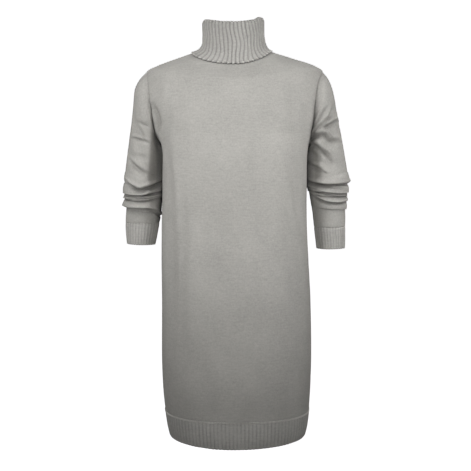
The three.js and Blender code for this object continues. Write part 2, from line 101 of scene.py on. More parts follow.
def put_in_scene(name: str, data: ID) -> Object:
    """Adds an object to the scene.

    Args:
        name: the object's name.
        data: its mesh, camera data or light.

    Returns:
        The object.
    """
    thing = bpy.data.objects.new(name, data)
    bpy.context.scene.collection.objects.link(thing)
    return thing


def smooth(mesh: Mesh) -> None:
    """Shades all faces of a mesh smoothly."""
    mesh.polygons.foreach_set("use_smooth", np.ones(len(mesh.polygons), bool))


def joined(keys: Array, values: Array, at: Array) -> Array:
    """Joins values by smooth curves that never overshoot between two keys.

    Args:
        keys: increasing, one for each value.
        values: one for each key, or an array of the shape of `at` for each.
        at: where to read the curves.

    Returns:
        An array of the shape of `at`.
    """
    upright = (-1, *[1] * at.ndim)
    if values.ndim == 1:
        values = np.broadcast_to(values.reshape(upright), (len(keys), *at.shape))
    slopes = np.diff(values, axis=0) / np.diff(keys).reshape(upright)
    agree = slopes[:-1] * slopes[1:] > 0
    inner = np.where(agree, 2 * slopes[:-1] * slopes[1:] / np.where(agree, slopes[:-1] + slopes[1:], 1), 0)
    tangents = np.concatenate([slopes[:1], inner, slopes[-1:]])
    k = np.clip(np.searchsorted(keys, at) - 1, 0, len(keys) - 2)
    span = keys[k + 1] - keys[k]
    t = np.clip((at - keys[k]) / span, 0, 1)
    low, high, leave, arrive = (
        np.take_along_axis(rows, index[None], 0)[0]
        for rows, index in ((values, k), (values, k + 1), (tangents, k), (tangents, k + 1))
    )
    return (
        low * (1 + 2 * t) * (1 - t) ** 2
        + leave * span * t * (1 - t) ** 2
        + high * t * t * (3 - 2 * t)
        + arrive * span * t * t * (t - 1)
    )


class Table:
    """Rows of a short table with named columns, ordered by the first."""

    def __init__(self, columns: str, rows: list[tuple[float, ...]]) -> None:
        """Reads the columns' names and the rows."""
        self.names = columns.split()
        self.values = np.array(rows, float)

    def column(self, name: str) -> Array:
        """Returns one column."""
        return self.values[:, self.names.index(name)]

    def at(self, name: str, key: Array) -> Array:
        """Returns one column, joined smoothly between its rows."""
        return joined(self.values[:, 0], self.column(name), key)


def lengths(points: Array, axis: int) -> Array:
    """Measures a grid of points along its rows or its columns.

    Args:
        points: the grid, with three coordinates last.
        axis: 0 to measure down the columns, 1 along the rows.

    Returns:
        The distance of each point from the first one of its line.
    """
    steps = np.linalg.norm(np.diff(points, axis=axis), axis=-1)
    start = np.zeros_like(np.take(steps, [0], axis))
    return np.concatenate([start, np.cumsum(steps, axis)], axis)


def unit(vectors: Array) -> Array:
    """Returns the vectors at length 1."""
    return vectors / np.linalg.norm(vectors, axis=-1, keepdims=True)


def oval(angle: Array, left: Array, right: Array, front: Array, back: Array,
         square: Array | float, z: Array) -> Array:
    """Points of an oval with its own half width on each side and half depth in front and behind.

    Args:
        angle: 0 at the wearer's left, a quarter turn at the front.
        left, right, front, back: the four reaches.
        square: 2 for an ellipse, more for a squarer outline.
        z: the height.

    Returns:
        The points.
    """
    across, forward = np.cos(angle), np.sin(angle)
    half_width = np.where(across > 0, left, right)
    half_depth = np.where(forward > 0, front, back)
    reach = (np.abs(across / half_width) ** square + np.abs(forward / half_depth) ** square) ** (-1 / square)
    return np.stack([reach * across, -reach * forward, z], axis=-1)


class Profile(Enum):
    """How the cloth lies across a fold."""

    SOFT = "soft"  # rounded
    PINCHED = "pinched"  # sharp along its line
    LAPPED = "lapped"  # full on the left of its line, and falling in sharply on the right

    def height(self, offset: Array) -> Array:
        """Gives the height across the fold.

        Args:
            offset: distance from its line as a share of its width, positive on the left.

        Returns:
            The height as a share of the fold's own.
        """
        inside = np.clip(1 - np.abs(offset), 0, 1)
        if self is Profile.PINCHED:
            return inside**2
        if self is Profile.SOFT:
            return (inside * (1 + np.abs(offset))) ** 2
        lean = offset / LAP_REACH
        return lean * np.exp((1 - lean**2) / 2) * np.minimum(1, LAP_FADE * inside)


LAP_REACH = 0.3  # how far from a lapped fold's line it is fullest, as a share of its width
LAP_FADE = 3  # how steeply it dies out at its edges
FOLD_POINTS = 15
FOLD_END = 0.06  # how much of its run a fold has already fallen short of at each end
FOLD_FADE = 0.7


@dataclass(frozen=True)
class Fold:
    """One fold or crease, along a smooth line through places on a surface.

    Attributes:
        places: degrees round the surface and a place along it, for each place that the line passes.
        width: from its line to where it dies out.
        height: how far it stands out, or in where negative.
        profile: how the cloth lies across it.
    """

    places: tuple[tuple[float, float], ...]
    width: float
    height: float
    profile: Profile = Profile.SOFT

    def line(self, form: Form) -> Array:
        """Returns points along the fold on a surface.

        Args:
            form: the surface.

        Returns:
            The points in order.
        """
        keys = np.linspace(0, 1, len(self.places))
        share = np.linspace(0, 1, FOLD_POINTS)
        degrees, alongs = (joined(keys, np.array(column), share) for column in zip(*self.places))
        return form(np.radians(degrees), alongs)

    def relief(self, form: Form, points: Array, normals: Array) -> Array:
        """Gives how far the fold raises a surface.

        Args:
            form: the surface.
            points, normals: places on it and the outward directions there.

        Returns:
            The height at each of the points.
        """
        line = self.line(form)
        nearest = np.full(points.shape[:-1], np.inf)
        signed, share = np.zeros_like(nearest), np.zeros_like(nearest)
        for k, (here, there) in enumerate(zip(line[:-1], line[1:])):
            run = there - here
            along = np.clip((points - here) @ run / (run @ run), 0, 1)
            away = points - here - along[..., None] * run
            distance = np.linalg.norm(away, axis=-1)
            left = np.sign((np.cross(run, away) * normals).sum(-1))
            closer = distance < nearest
            nearest = np.where(closer, distance, nearest)
            signed = np.where(closer, left * distance, signed)
            share = np.where(closer, (k + along) / (len(line) - 1), share)
        fade = np.sin(math.pi * (FOLD_END + (1 - 2 * FOLD_END) * share)) ** FOLD_FADE
        return self.height * fade * self.profile.height(signed / self.width)


def normals_of(form: Form, angle: Array, along: Array, angle_step: float, along_step: float) -> Array:
    """Returns the normals of a surface, on the side where the angle turns left as it runs on.

    Args:
        form: the surface.
        angle, along: the places.
        angle_step, along_step: how far to either side it is measured.

    Returns:
        The normals.
    """
    by_angle = form(angle + angle_step, along) - form(angle - angle_step, along)
    by_run = form(angle, along + along_step) - form(angle, along - along_step)
    return unit(np.cross(by_angle, by_run))


class Torso:
    """The body of the dress, as a surface of an angle about its axis and a height up its panels.

    The angle is 0 at the wearer's left and a quarter turn at the front.
    """

    HEM_SEAM_UP = 58
    UNDERARM_UP = 668
    SHOULDER_TIP_UP = 830
    NECKLINE_UP = 950
    ARMHOLE_REACH = math.radians(15.5)  # how far round the body an armhole reaches, in front and behind
    ANGLE_STEP = 0.004
    UP_STEP = 0.8

    # Level rings: heights at the side, the front and the back, the half widths and half depths, and the
    # squareness of the outline.
    RINGS = Table("up side_z front_z back_z right left front back square", [
        (0, -861, -869, -861, 153, 162, 127, 124, 2.4),
        (24, -838, -844, -837, 158, 167, 129, 126, 2.4),
        (48, -815, -818, -813, 161.5, 169.5, 129, 127, 2.4),
        (120, -744, -745, -743, 168, 173.5, 131, 129, 2.5),
        (190, -674, -674, -674, 170, 175, 130, 131, 2.5),
        (310, -554, -554, -554, 169, 172.5, 127, 131, 2.6),
        (400, -463, -463, -463, 169.5, 167.5, 123, 126, 2.6),
        (490, -374, -374, -374, 168.5, 163, 119, 117, 2.7),
        (560, -304, -304, -304, 166.5, 162, 121, 110, 2.8),
        (615, -249, -249, -249, 165.5, 162, 124, 109, 2.8),
        (645, -219, -219, -219, 165, 163, 123, 111, 2.75),
        (668, -197, -197, -197, 168.5, 166.5, 121, 113, 2.6),
        (698, -168, -166, -168, 190, 178, 118, 113, 2.15),
        (730, -137, -133, -137, 203, 189, 114, 110, 2.1),
        (775, -93, -89, -93, 214, 196, 106, 103, 2.1),
        (830, -33, -56, -40, 202, 198, 93, 88, 2.05),
        (860, -19.5, -47, -22, 179, 181, 89, 82, 2),
        (900, -3.5, -34, 2, 136, 133, 83, 74, 2),
        (950, 15, -15, 24, 82, 74, 69, 62, 2),
    ])
    # The large soft folds of the solids come first, and then the smaller ones that only show from near by.
    FOLDS = [
        Fold(((127, 250), (142, 640)), 44, 3.2),
        Fold(((143, 190), (152, 560)), 38, -3.4),
        Fold(((44, 330), (58, 640)), 50, 2.6),
        Fold(((28, 260), (40, 600)), 42, -2.6),
        Fold(((232, 120), (222, 560)), 44, 2.6),
        Fold(((312, 160), (322, 600)), 48, 2.8),
        Fold(((270, 200), (268, 520)), 62, -2.4),
        Fold(((156, 805), (154, 770), (157, 735)), 16, 4.2),
        Fold(((163, 756), (160, 722), (164, 684)), 13, -12),
        Fold(((150, 740), (154, 705), (158, 660)), 18, -3),
        Fold(((155, 706), (146, 650), (139, 590)), 26, 2.8),
        Fold(((146, 650), (143, 590), (143, 480)), 20, 5.4, Profile.PINCHED),
        Fold(((146, 520), (141, 330), (147, 130)), 19, 3.0, Profile.PINCHED),
        Fold(((138, 560), (137, 450), (139, 330)), 15, -2.2),
        Fold(((22, 790), (18, 730), (17, 676)), 13, 2.0),
        Fold(((33, 800), (34, 750), (34, 700)), 15, -1.8),
        Fold(((47, 640), (36, 520), (24, 410)), 22, 5.2, Profile.PINCHED),
        Fold(((37, 560), (32, 510)), 9, -1.4),
        Fold(((165, 908), (140, 899), (120, 906), (90, 922), (60, 919), (38, 921), (18, 931)), 12, 1.8),
        Fold(((200, 700), (210, 650), (222, 600)), 24, 2.4),
        Fold(((216, 650), (213, 560), (214, 470)), 17, 2.4, Profile.PINCHED),
        Fold(((338, 706), (328, 660), (318, 610)), 24, 2.2),
        Fold(((320, 630), (325, 540), (327, 440)), 17, 2.4, Profile.PINCHED),
        Fold(((232, 700), (270, 676), (308, 702)), 32, -2.2),
        Fold(((60, 250), (64, 90)), 26, 1.8),
        Fold(((112, 270), (106, 100)), 28, 1.6),
        Fold(((250, 300), (244, 90)), 26, 1.8),
        Fold(((296, 280), (300, 80)), 24, 1.7),
    ]

    def form(self, angle: Array, up: Array) -> Array:
        """Returns points of the outer face before its folds.

        Args:
            angle, up: the places.

        Returns:
            The points.
        """
        at = np.clip(up, 0, self.NECKLINE_UP)
        forward = np.sin(angle)
        side_z = self.RINGS.at("side_z", at)
        dip = np.where(forward > 0, self.RINGS.at("front_z", at), self.RINGS.at("back_z", at)) - side_z
        reaches = {name: self.RINGS.at(name, at) for name in ("left", "right", "front", "back", "square")}
        return oval(angle, **reaches, z=side_z + dip * forward**2 + (up - at))

    def normal(self, angle: Array, up: Array) -> Array:
        """Returns the outward normals."""
        return -normals_of(self.form, angle, up, self.ANGLE_STEP, self.UP_STEP)

    def point(self, angle: Array, up: Array) -> Array:
        """Returns points of the outer face with its folds.

        Args:
            angle, up: the places.

        Returns:
            The points.
        """
        points, normals = self.form(angle, up), self.normal(angle, up)
        relief = sum(fold.relief(self.form, points, normals) for fold in self.FOLDS)
        return points + relief[..., None] * normals

    def side_at(self, side: int, points: Array) -> Array:
        """Returns how far out the body's side is, level with points beside it.

        Args:
            side: 1 for the wearer's left, -1 for the right.
            points: the places.

        Returns:
            The distances from the middle.
        """
        up = np.interp(points[..., 2], self.RINGS.column("side_z"), self.RINGS.column("up"))
        depth = np.where(points[..., 1] < 0, self.RINGS.at("front", up), self.RINGS.at("back", up))
        square = self.RINGS.at("square", up)
        inside = np.clip(1 - np.abs(points[..., 1] / depth) ** square, 0, 1)
        return self.RINGS.at("left" if side > 0 else "right", up) * inside ** (1 / square)

    def armhole(self, side: int, angle: Array) -> Array:
        """Returns points of an armhole's edge.

        Args:
            side: 1 for the wearer's left, -1 for the right.
            angle: round the sleeve, 0 at the shoulder tip, a quarter turn in front and a half turn underarm.

        Returns:
            The points.
        """
        share = (1 - np.cos(angle)) / 2
        reach = self.ARMHOLE_REACH * np.sin(angle)
        up = self.SHOULDER_TIP_UP + (self.UNDERARM_UP - self.SHOULDER_TIP_UP) * share
        return self.point(reach if side > 0 else math.pi - reach, up)

    def armhole_frame(self, side: int, angle: Array) -> tuple[Array, Array]:
        """Returns the directions out along the sleeve, and the normals that both walls share at the seam.

        Args:
            side, angle: the places, as for the armhole's edge.

        Returns:
            The directions and the normals.
        """
        after, before = (self.armhole(side, angle + step) for step in (self.ANGLE_STEP, -self.ANGLE_STEP))
        tangent = unit(after - before)
        slope = Sleeve.SHOULDER_SLOPE * ((1 + np.cos(angle)) / 2) ** 2
        out = unit(np.stack([np.full_like(slope, side), np.zeros_like(slope), -slope], axis=-1))
        normal = unit(side * np.cross(tangent, out))
        return unit(side * np.cross(normal, tangent)), normal


TORSO = Torso()


@dataclass
class Shell:
    """A closed wall of cloth, from two grids of points in rows of columns.

    Attributes:
        outer: the face that shows, before its ribs.
        normals: the outward directions.
        is_tube: whether the last column joins the first.
        turned: whether the columns run clockwise about the outward direction as the rows rise.
        rib: the count of ribs passed at each column, or none.
        rise: how high the ribs are at each point, as a share.
        free_rows: rows at a free edge, which is rounded off: 0, -1 or both.
        seam_rows, seam_columns: rows and columns at seams, where the face dips.
    """

    outer: Array
    normals: Array
    is_tube: bool = False
    turned: bool = False
    rib: Array | None = None
    rise: Array | None = None
    free_rows: tuple[int, ...] = ()
    seam_rows: tuple[int, ...] = ()
    seam_columns: tuple[int, ...] = ()

    SEAM_DEPTH = 0.3
    SEAM_WIDTH = 2.2
    FREE_EDGE = 0.42  # the share of its thickness that a free edge keeps

    def grooved(self) -> Array:
        """Returns how far the outer face dips at its seams.

        Returns:
            The depth at each point.
        """
        down, along = lengths(self.outer, 0), lengths(self.outer, 1)
        away = [np.abs(down - down[[row]]) for row in self.seam_rows]
        away += [np.abs(along - along[:, [column]]) for column in self.seam_columns]
        if not away:
            return np.zeros(self.outer.shape[:2])
        return self.SEAM_DEPTH * np.exp(-((np.minimum.reduce(away) / self.SEAM_WIDTH) ** 2))

    def faces(self) -> Array:
        """Returns the four corners of every face, as places in two grids that have one column too many.

        Returns:
            Four places for each face.
        """
        rows, columns = self.outer.shape[:2]
        wide = columns + 1
        last = columns if self.is_tube else columns - 1
        j, i = (grid.ravel() for grid in np.meshgrid(np.arange(rows - 1), np.arange(last), indexing="ij"))

        def at(face: int, row: Array | int, column: Array | int) -> Array:
            """Returns places in the two grids."""
            return face * rows * wide + row * wide + column

        quads = [
            np.stack([at(0, j, i), at(0, j, i + 1), at(0, j + 1, i + 1), at(0, j + 1, i)], 1),
            np.stack([at(1, j, i), at(1, j + 1, i), at(1, j + 1, i + 1), at(1, j, i + 1)], 1),
        ]
        i, top = np.arange(last), rows - 1
        quads.append(np.stack([at(0, 0, i), at(1, 0, i), at(1, 0, i + 1), at(0, 0, i + 1)], 1))
        quads.append(np.stack([at(0, top, i), at(0, top, i + 1), at(1, top, i + 1), at(1, top, i)], 1))
        if not self.is_tube:
            j, end = np.arange(rows - 1), columns - 1
            quads.append(np.stack([at(0, j, 0), at(0, j + 1, 0), at(1, j + 1, 0), at(1, j, 0)], 1))
            quads.append(np.stack([at(0, j, end), at(1, j, end), at(1, j + 1, end), at(0, j + 1, end)], 1))
        corners = np.concatenate(quads)
        return corners[:, ::-1] if self.turned else corners

    def wales_and_courses(self) -> Array:
        """Returns the distances across and up the cloth, in metres, for the knit's stitches to follow.

        Returns:
            The two distances at each point, with the first column again at the end.
        """
        closed = np.concatenate([self.outer, self.outer[:, :1]], axis=1)
        across = lengths(closed, 1)
        across -= across[:, -1:] / 2
        return np.stack([across, lengths(closed, 0)], axis=-1) * MM

    def object(self, name: str) -> Object:
        """Makes the wall's mesh.

        Args:
            name: the object's name.

        Returns:
            The object, with its UV map and the attributes that its ribs are raised by.
        """
        rows, columns = self.outer.shape[:2]
        outer = self.outer - self.grooved()[..., None] * self.normals
        inner = self.outer - WALL * self.normals
        for row in self.free_rows:
            middle = (outer[row] + inner[row]) / 2
            outer[row] = middle + self.FREE_EDGE * (outer[row] - middle)
            inner[row] = middle + self.FREE_EDGE * (inner[row] - middle)
        corners = self.faces()
        wide = columns + 1
        place = corners // wide * columns + corners % wide % columns
        mesh = bpy.data.meshes.new(name)
        points = np.concatenate([outer, inner]).reshape(-1, 3) * MM
        mesh.from_pydata(points.tolist(), [], place.tolist())
        uv = np.tile(self.wales_and_courses().reshape(-1, 2), (2, 1))[corners.ravel()]
        mesh.uv_layers.new(name="cloth").data.foreach_set("uv", uv.astype(np.float32).ravel())
        if self.rib is not None:
            rise = np.ones((rows, columns)) if self.rise is None else self.rise
            values = {"rib": np.broadcast_to(self.rib, (rows, columns)), "rise": rise}
            inside = {"rib": values["rib"], "rise": np.zeros((rows, columns))}
            for key, value in values.items():
                data = np.concatenate([value.ravel(), inside[key].ravel()]).astype(np.float32)
                mesh.attributes.new(key, "FLOAT", "POINT").data.foreach_set("value", data)
        smooth(mesh)
        mesh.update()
        return put_in_scene(name, mesh)


def through_tree(piece: Object, tree: NodeTree, values: dict[str, object]) -> None:
    """Runs a Geometry Nodes tree on an object and keeps the result as its plain mesh.

    Args:
        piece: the object.
        tree: the tree.
        values: the tree's inputs by name.
    """
    modifier = piece.modifiers.new(tree.name, "NODES")
    modifier.node_group = tree
    for item in tree.interface.items_tree:
        if item.item_type == "SOCKET" and item.in_out == "INPUT" and item.name in values:
            modifier[item.identifier] = values[item.name]
    graph = bpy.context.evaluated_depsgraph_get()
    mesh = bpy.data.meshes.new_from_object(piece.evaluated_get(graph), depsgraph=graph)
    mesh.name = piece.name
    piece.modifiers.clear()
    piece.data = mesh


def new_tree(name: str, numbers: tuple[str, ...]) -> tuple[NodeTree, Node]:
    """Starts a Geometry Nodes tree.

    Args:
        name: the tree's name.
        numbers: its inputs between the geometry and the material.

    Returns:
        The tree and its input node.
    """
    tree = bpy.data.node_groups.new(name, "GeometryNodeTree")
    inputs = {"Geometry": "Geometry"} | dict.fromkeys(numbers, "Float") | {"Material": "Material"}
    for key, kind in inputs.items():
        tree.interface.new_socket(key, in_out="INPUT", socket_type=f"NodeSocket{kind}")
    tree.interface.new_socket("Geometry", in_out="OUTPUT", socket_type="NodeSocketGeometry")
    return tree, add(tree, "NodeGroupInput")


def finished(tree: NodeTree, geometry: NodeSocket, material: NodeSocket) -> None:
    """Ends a tree in Realize Instances and Set Material.

    Args:
        tree: the tree.
        geometry: what it has made.
        material: its finish.
    """
    real = add(tree, "GeometryNodeRealizeInstances", links={"Geometry": geometry})
    dressed = add(tree, "GeometryNodeSetMaterial", links={"Geometry": real.outputs[0], "Material": material})
    add(tree, "NodeGroupOutput", links={"Geometry": dressed.outputs[0]})


RIB_SLACK_SIZE = 28  # how far apart a rib's fuller and flatter stretches are


def rib_tree() -> NodeTree:
    """Builds the tree that raises a wall's outer face into ribs with narrow grooves, and the shade painted in
    them.

    Returns:
        The tree.
    """
    tree, given = new_tree("ribs", ("Rib Height", "Fullness", "Unevenness", "Groove Shade"))
    rib = add(tree, "GeometryNodeInputNamedAttribute", {"data_type": "FLOAT"}, {"Name": "rib"})
    rise = add(tree, "GeometryNodeInputNamedAttribute", {"data_type": "FLOAT"}, {"Name": "rise"})
    turn = add(tree, MATH, {"operation": "MULTIPLY"}, {0: rib.outputs["Attribute"], 1: math.pi})
    wave = add(tree, MATH, {"operation": "COSINE"}, {0: turn})
    size = add(tree, MATH, {"operation": "ABSOLUTE"}, {0: wave})
    full = add(tree, MATH, {"operation": "POWER"}, {0: size, 1: given.outputs["Fullness"]})
    here = add(tree, MATH, {"operation": "MULTIPLY"}, {0: full, 1: rise.outputs["Attribute"]})
    slack = add(tree, "ShaderNodeTexNoise", {"noise_dimensions": "3D"}, {"Scale": 1 / (RIB_SLACK_SIZE * MM)})
    loose = add(tree, MATH, {"operation": "MULTIPLY"},
                {0: slack.outputs["Fac"], 1: given.outputs["Unevenness"]})
    firm = add(tree, MATH, {"operation": "SUBTRACT"}, {0: 1.0, 1: loose})
    even = add(tree, MATH, {"operation": "MULTIPLY"}, {0: here, 1: firm})
    high = add(tree, MATH, {"operation": "MULTIPLY"}, {0: even, 1: given.outputs["Rib Height"]})
    normal = add(tree, "GeometryNodeInputNormal")
    offset = add(tree, "ShaderNodeVectorMath", {"operation": "SCALE"}, {0: normal.outputs[0], "Scale": high})
    raised = add(tree, "GeometryNodeSetPosition",
                 links={"Geometry": given.outputs["Geometry"], "Offset": offset.outputs[0]})
    # Painted shade: the grooves between the ribs are made darker, kept as an attribute for the material.
    deep = add(tree, MATH, {"operation": "SUBTRACT"}, {0: 1.0, 1: full})
    open_up = add(tree, MATH, {"operation": "MULTIPLY", "use_clamp": True}, {0: deep, 1: firm})
    dim = add(tree, MATH, {"operation": "MULTIPLY"}, {0: open_up, 1: given.outputs["Groove Shade"]})
    tone = add(tree, MATH, {"operation": "SUBTRACT"}, {0: 1.0, 1: dim})
    kept = add(tree, "GeometryNodeStoreNamedAttribute", {"data_type": "FLOAT", "domain": "POINT"},
               {"Geometry": raised.outputs[0], "Name": "painted_groove_shade", "Value": tone})
    finished(tree, kept.outputs[0], given.outputs["Material"])
    return tree


def linking_tree() -> NodeTree:
    """Builds the tree that lays a V of two short strands of yarn on each point of a seam.

    Returns:
        The tree.
    """
    tree, given = new_tree("linking", ("Strand Length", "Strand Width", "Lean", "Spread"))
    ball = add(tree, "GeometryNodeMeshUVSphere", links={"Segments": 6, "Rings": 4, "Radius": 0.5})
    thick = given.outputs["Strand Width"]
    scale = add(tree, "ShaderNodeCombineXYZ", links={0: given.outputs["Strand Length"], 1: thick, 2: thick})
    strands = add(tree, "GeometryNodeJoinGeometry")
    for side in (1, -1):
        lean = add(tree, MATH, {"operation": "MULTIPLY"}, {0: given.outputs["Lean"], 1: side})
        turn = add(tree, "ShaderNodeCombineXYZ", links={2: lean})
        shift = add(tree, MATH, {"operation": "MULTIPLY"}, {0: given.outputs["Spread"], 1: side / 2})
        move = add(tree, "ShaderNodeCombineXYZ", links={1: shift})
        strand = add(tree, "GeometryNodeTransform", links={
            "Geometry": ball.outputs["Mesh"], "Scale": scale.outputs[0], "Rotation": turn.outputs[0],
            "Translation": move.outputs[0]})
        tree.links.new(strand.outputs[0], strands.inputs[0])
    along = add(tree, "GeometryNodeInputNamedAttribute", {"data_type": "FLOAT_VECTOR"}, {"Name": "along"})
    outward = add(tree, "GeometryNodeInputNamedAttribute", {"data_type": "FLOAT_VECTOR"}, {"Name": "outward"})
    turned = add(tree, "FunctionNodeAxesToRotation", {"primary_axis": "Z", "secondary_axis": "X"},
                 {0: outward.outputs["Attribute"], 1: along.outputs["Attribute"]})
    placed = add(tree, "GeometryNodeInstanceOnPoints", links={
        "Points": given.outputs["Geometry"], "Instance": strands.outputs[0], "Rotation": turned.outputs[0]})
    finished(tree, placed.outputs[0], given.outputs["Material"])
    return tree


@dataclass(frozen=True)
class Knit:
    """A finish of machine-knitted yarn.

    Attributes:
        name: the material's name.
        light, dark: the yarn's lightest and darkest colour; between them it varies at random, and it is
            painted lighter where a stitch stands up and darker where it lies deep, as painted shade.
        wale, course: the width and height of a drawn stitch.
        relief: how high a stitch stands.
        flecks: how strongly the yarn's shade varies.
        is_ribbed: whether the shade kept by the ribs' tree is painted into the grooves between its ribs.
        crease: how strongly shade is painted into the yarn's colour in its tight creases, as a power.
    """

    name: str
    light: str
    dark: str
    wale: float
    course: float
    relief: float
    flecks: float
    is_ribbed: bool = False
    crease: float = 0.0

    PAINTED_SHADE_REACH = 16  # how near other cloth has to be for shade to be painted into a crease
    PAINTED_SHADE_RAYS = 32
    LEAN = 0.9  # how far the two legs of a stitch rise from its middle, in stitches
    FLECK_SIZE = 3.5
    FLECK_DETAIL = 3.0
    CLOUD_SIZE = 60
    CLOUD_DETAIL = 2.0
    STREAK_LENGTH = 16
    STREAK_HEIGHT = 3.2
    ROW_RELIEF = 0.3  # how much of a stitch's height changes along its row
    STITCH_PAINTED_SHADE = 0.3  # painted shade: how much lighter the colour is where a stitch stands up
    BUMP_STRENGTH = 0.6

    def material(self) -> Material:
        """Builds the material, which follows the cloth's own UV map.

        Returns:
            The material.
        """
        material = bpy.data.materials.new(self.name)
        material.use_nodes = True
        tree = material.node_tree
        tree.nodes.clear()
        cloth = add(tree, "ShaderNodeUVMap", {"uv_map": "cloth"})
        parts = add(tree, "ShaderNodeSeparateXYZ", links={0: cloth.outputs[0]})
        wale = add(tree, MATH, {"operation": "DIVIDE"}, {0: parts.outputs[0], 1: self.wale * MM})
        course = add(tree, MATH, {"operation": "DIVIDE"}, {0: parts.outputs[1], 1: self.course * MM})
        share = add(tree, MATH, {"operation": "FRACT"}, {0: wale})
        middle = add(tree, MATH, {"operation": "SUBTRACT"}, {0: share, 1: 0.5})
        beside = add(tree, MATH, {"operation": "ABSOLUTE"}, {0: middle})
        lean = add(tree, MATH, {"operation": "MULTIPLY_ADD"}, {0: beside, 1: -self.LEAN, 2: course})
        row_turn = add(tree, MATH, {"operation": "MULTIPLY"}, {0: lean, 1: 2 * math.pi})
        row = add(tree, MATH, {"operation": "COSINE"}, {0: row_turn})
        leg_turn = add(tree, MATH, {"operation": "MULTIPLY"}, {0: beside, 1: 2 * math.pi})
        leg = add(tree, MATH, {"operation": "SINE"}, {0: leg_turn})
        level = add(tree, MATH, {"operation": "MULTIPLY_ADD"},
                    {0: row, 1: self.ROW_RELIEF, 2: 1 - self.ROW_RELIEF})
        stitch = add(tree, MATH, {"operation": "MULTIPLY"}, {0: leg, 1: level})
        place = add(tree, "ShaderNodeTexCoord").outputs["Object"]
        fleck, cloud = (
            add(tree, "ShaderNodeTexNoise", {"noise_dimensions": "3D"},
                {"Vector": place, "Scale": 1 / (size * MM), "Detail": detail})
            for size, detail in ((self.FLECK_SIZE, self.FLECK_DETAIL), (self.CLOUD_SIZE, self.CLOUD_DETAIL))
        )
        shade = add(tree, MATH, {"operation": "MULTIPLY_ADD"},
                    {0: fleck.outputs["Fac"], 1: self.flecks, 2: 0.5 - self.flecks})
        scale = (1 / (self.STREAK_LENGTH * MM), 1 / (self.STREAK_HEIGHT * MM), 0)
        stretched = add(tree, "ShaderNodeVectorMath", {"operation": "MULTIPLY"},
                        {0: cloth.outputs[0], 1: scale})
        streak = add(tree, "ShaderNodeTexNoise", {"noise_dimensions": "2D"},
                     {"Vector": stretched.outputs[0], "Scale": 1.0, "Detail": 2.0})
        for noise in (streak, cloud):
            shade = add(tree, MATH, {"operation": "MULTIPLY_ADD"},
                        {0: noise.outputs["Fac"], 1: self.flecks / 2, 2: shade})
        # Painted shade: the colour is lighter where a stitch stands up and darker where it lies deep.
        tone = add(tree, MATH, {"operation": "MULTIPLY_ADD", "use_clamp": True},
                   {0: stitch, 1: self.STITCH_PAINTED_SHADE, 2: shade})
        # Painted shade in the grooves between the ribs.
        if self.is_ribbed:
            painted_groove_shade = add(tree, "ShaderNodeAttribute", {"attribute_name": "painted_groove_shade"})
            tone = add(tree, MATH, {"operation": "MULTIPLY"}, {0: tone, 1: painted_groove_shade.outputs["Fac"]})
        colour = add(tree, "ShaderNodeMix", {"data_type": "RGBA"},
                     {"Factor": tone, 6: linear(self.dark), 7: linear(self.light)})
        yarn = colour.outputs[2]
        # Painted shade: ambient occlusion darkens the yarn's colour wherever other cloth is near, as in
        # creases.
        if self.crease:
            occlusion_for_painted_shade = add(tree, "ShaderNodeAmbientOcclusion", {"samples": self.PAINTED_SHADE_RAYS},
                           {"Distance": self.PAINTED_SHADE_REACH * MM})
            painted_crease_shade = add(tree, MATH, {"operation": "POWER"}, {0: occlusion_for_painted_shade.outputs["AO"], 1: self.crease})
            yarn = add(tree, "ShaderNodeVectorMath", {"operation": "SCALE"}, {0: yarn, 3: painted_crease_shade}).outputs[0]
        bump = add(tree, "ShaderNodeBump", links={
            "Height": stitch, "Distance": self.relief * MM, "Strength": self.BUMP_STRENGTH})
        surface = add(tree, "ShaderNodeBsdfPrincipled", links={
            "Base Color": yarn, "Normal": bump.outputs[0], "Roughness": 0.92,
            "Specular IOR Level": 0.25, "Sheen Weight": 0.18, "Sheen Roughness": 0.6,
            "Sheen Tint": linear("D8D6D2")})
        add(tree, "ShaderNodeOutputMaterial", links={"Surface": surface.outputs[0]})
        return material


# Fine-gauge jersey of a wool-blend yarn, machine knitted: smooth upright wales with a soft, dry, faintly
# flecked face, with shade painted into its creases. Its real stitches are 1.4 mm wide, too fine to show here,
# so they are drawn larger.
JERSEY = Knit("fine_gauge_wool_blend_jersey", light="BAB8B3", dark="8E8C88", wale=3.4, course=2.6,
              relief=0.5, flecks=0.8, crease=0.75)
# The same yarn knitted as a 2 by 2 rib: rounded cords, with shade painted into the narrow grooves between
# them.
RIBBING = Knit("wool_blend_rib_knit", light="D0CEC9", dark="646260", wale=4.4, course=3.0,
               relief=0.5, flecks=0.4, is_ribbed=True)
# The linking yarn of the seams, the same blend twisted harder, and its loose loops along the hem's ribbing
# and the roll neck's edge, which stand up and are painted paler, as a painted highlight.
TWIST = {"wale": 1.2, "course": 1.2, "relief": 0.2, "flecks": 0.4}
YARN = Knit("wool_blend_linking_yarn", light="C8C6C1", dark="9A9894", **TWIST)
# Painted highlight: the edge loops' yarn is made paler than the seams' to stand for light catching them.
LOOPS_PAINTED_HIGHLIGHT = Knit("wool_blend_edge_loops_painted_highlight", light="E2E0DB", dark="B0AEA9", **TWIST)


@dataclass
class Wardrobe:
    """What the pieces share: the finishes as materials, and the trees."""

    jersey: Material = field(default_factory=JERSEY.material)
    ribbing: Material = field(default_factory=RIBBING.material)
    yarn: Material = field(default_factory=YARN.material)
    # The edge loops' yarn, painted paler as a highlight.
    loops: Material = field(default_factory=LOOPS_PAINTED_HIGHLIGHT.material)
    ribs: NodeTree = field(default_factory=rib_tree)
    linking: NodeTree = field(default_factory=linking_tree)


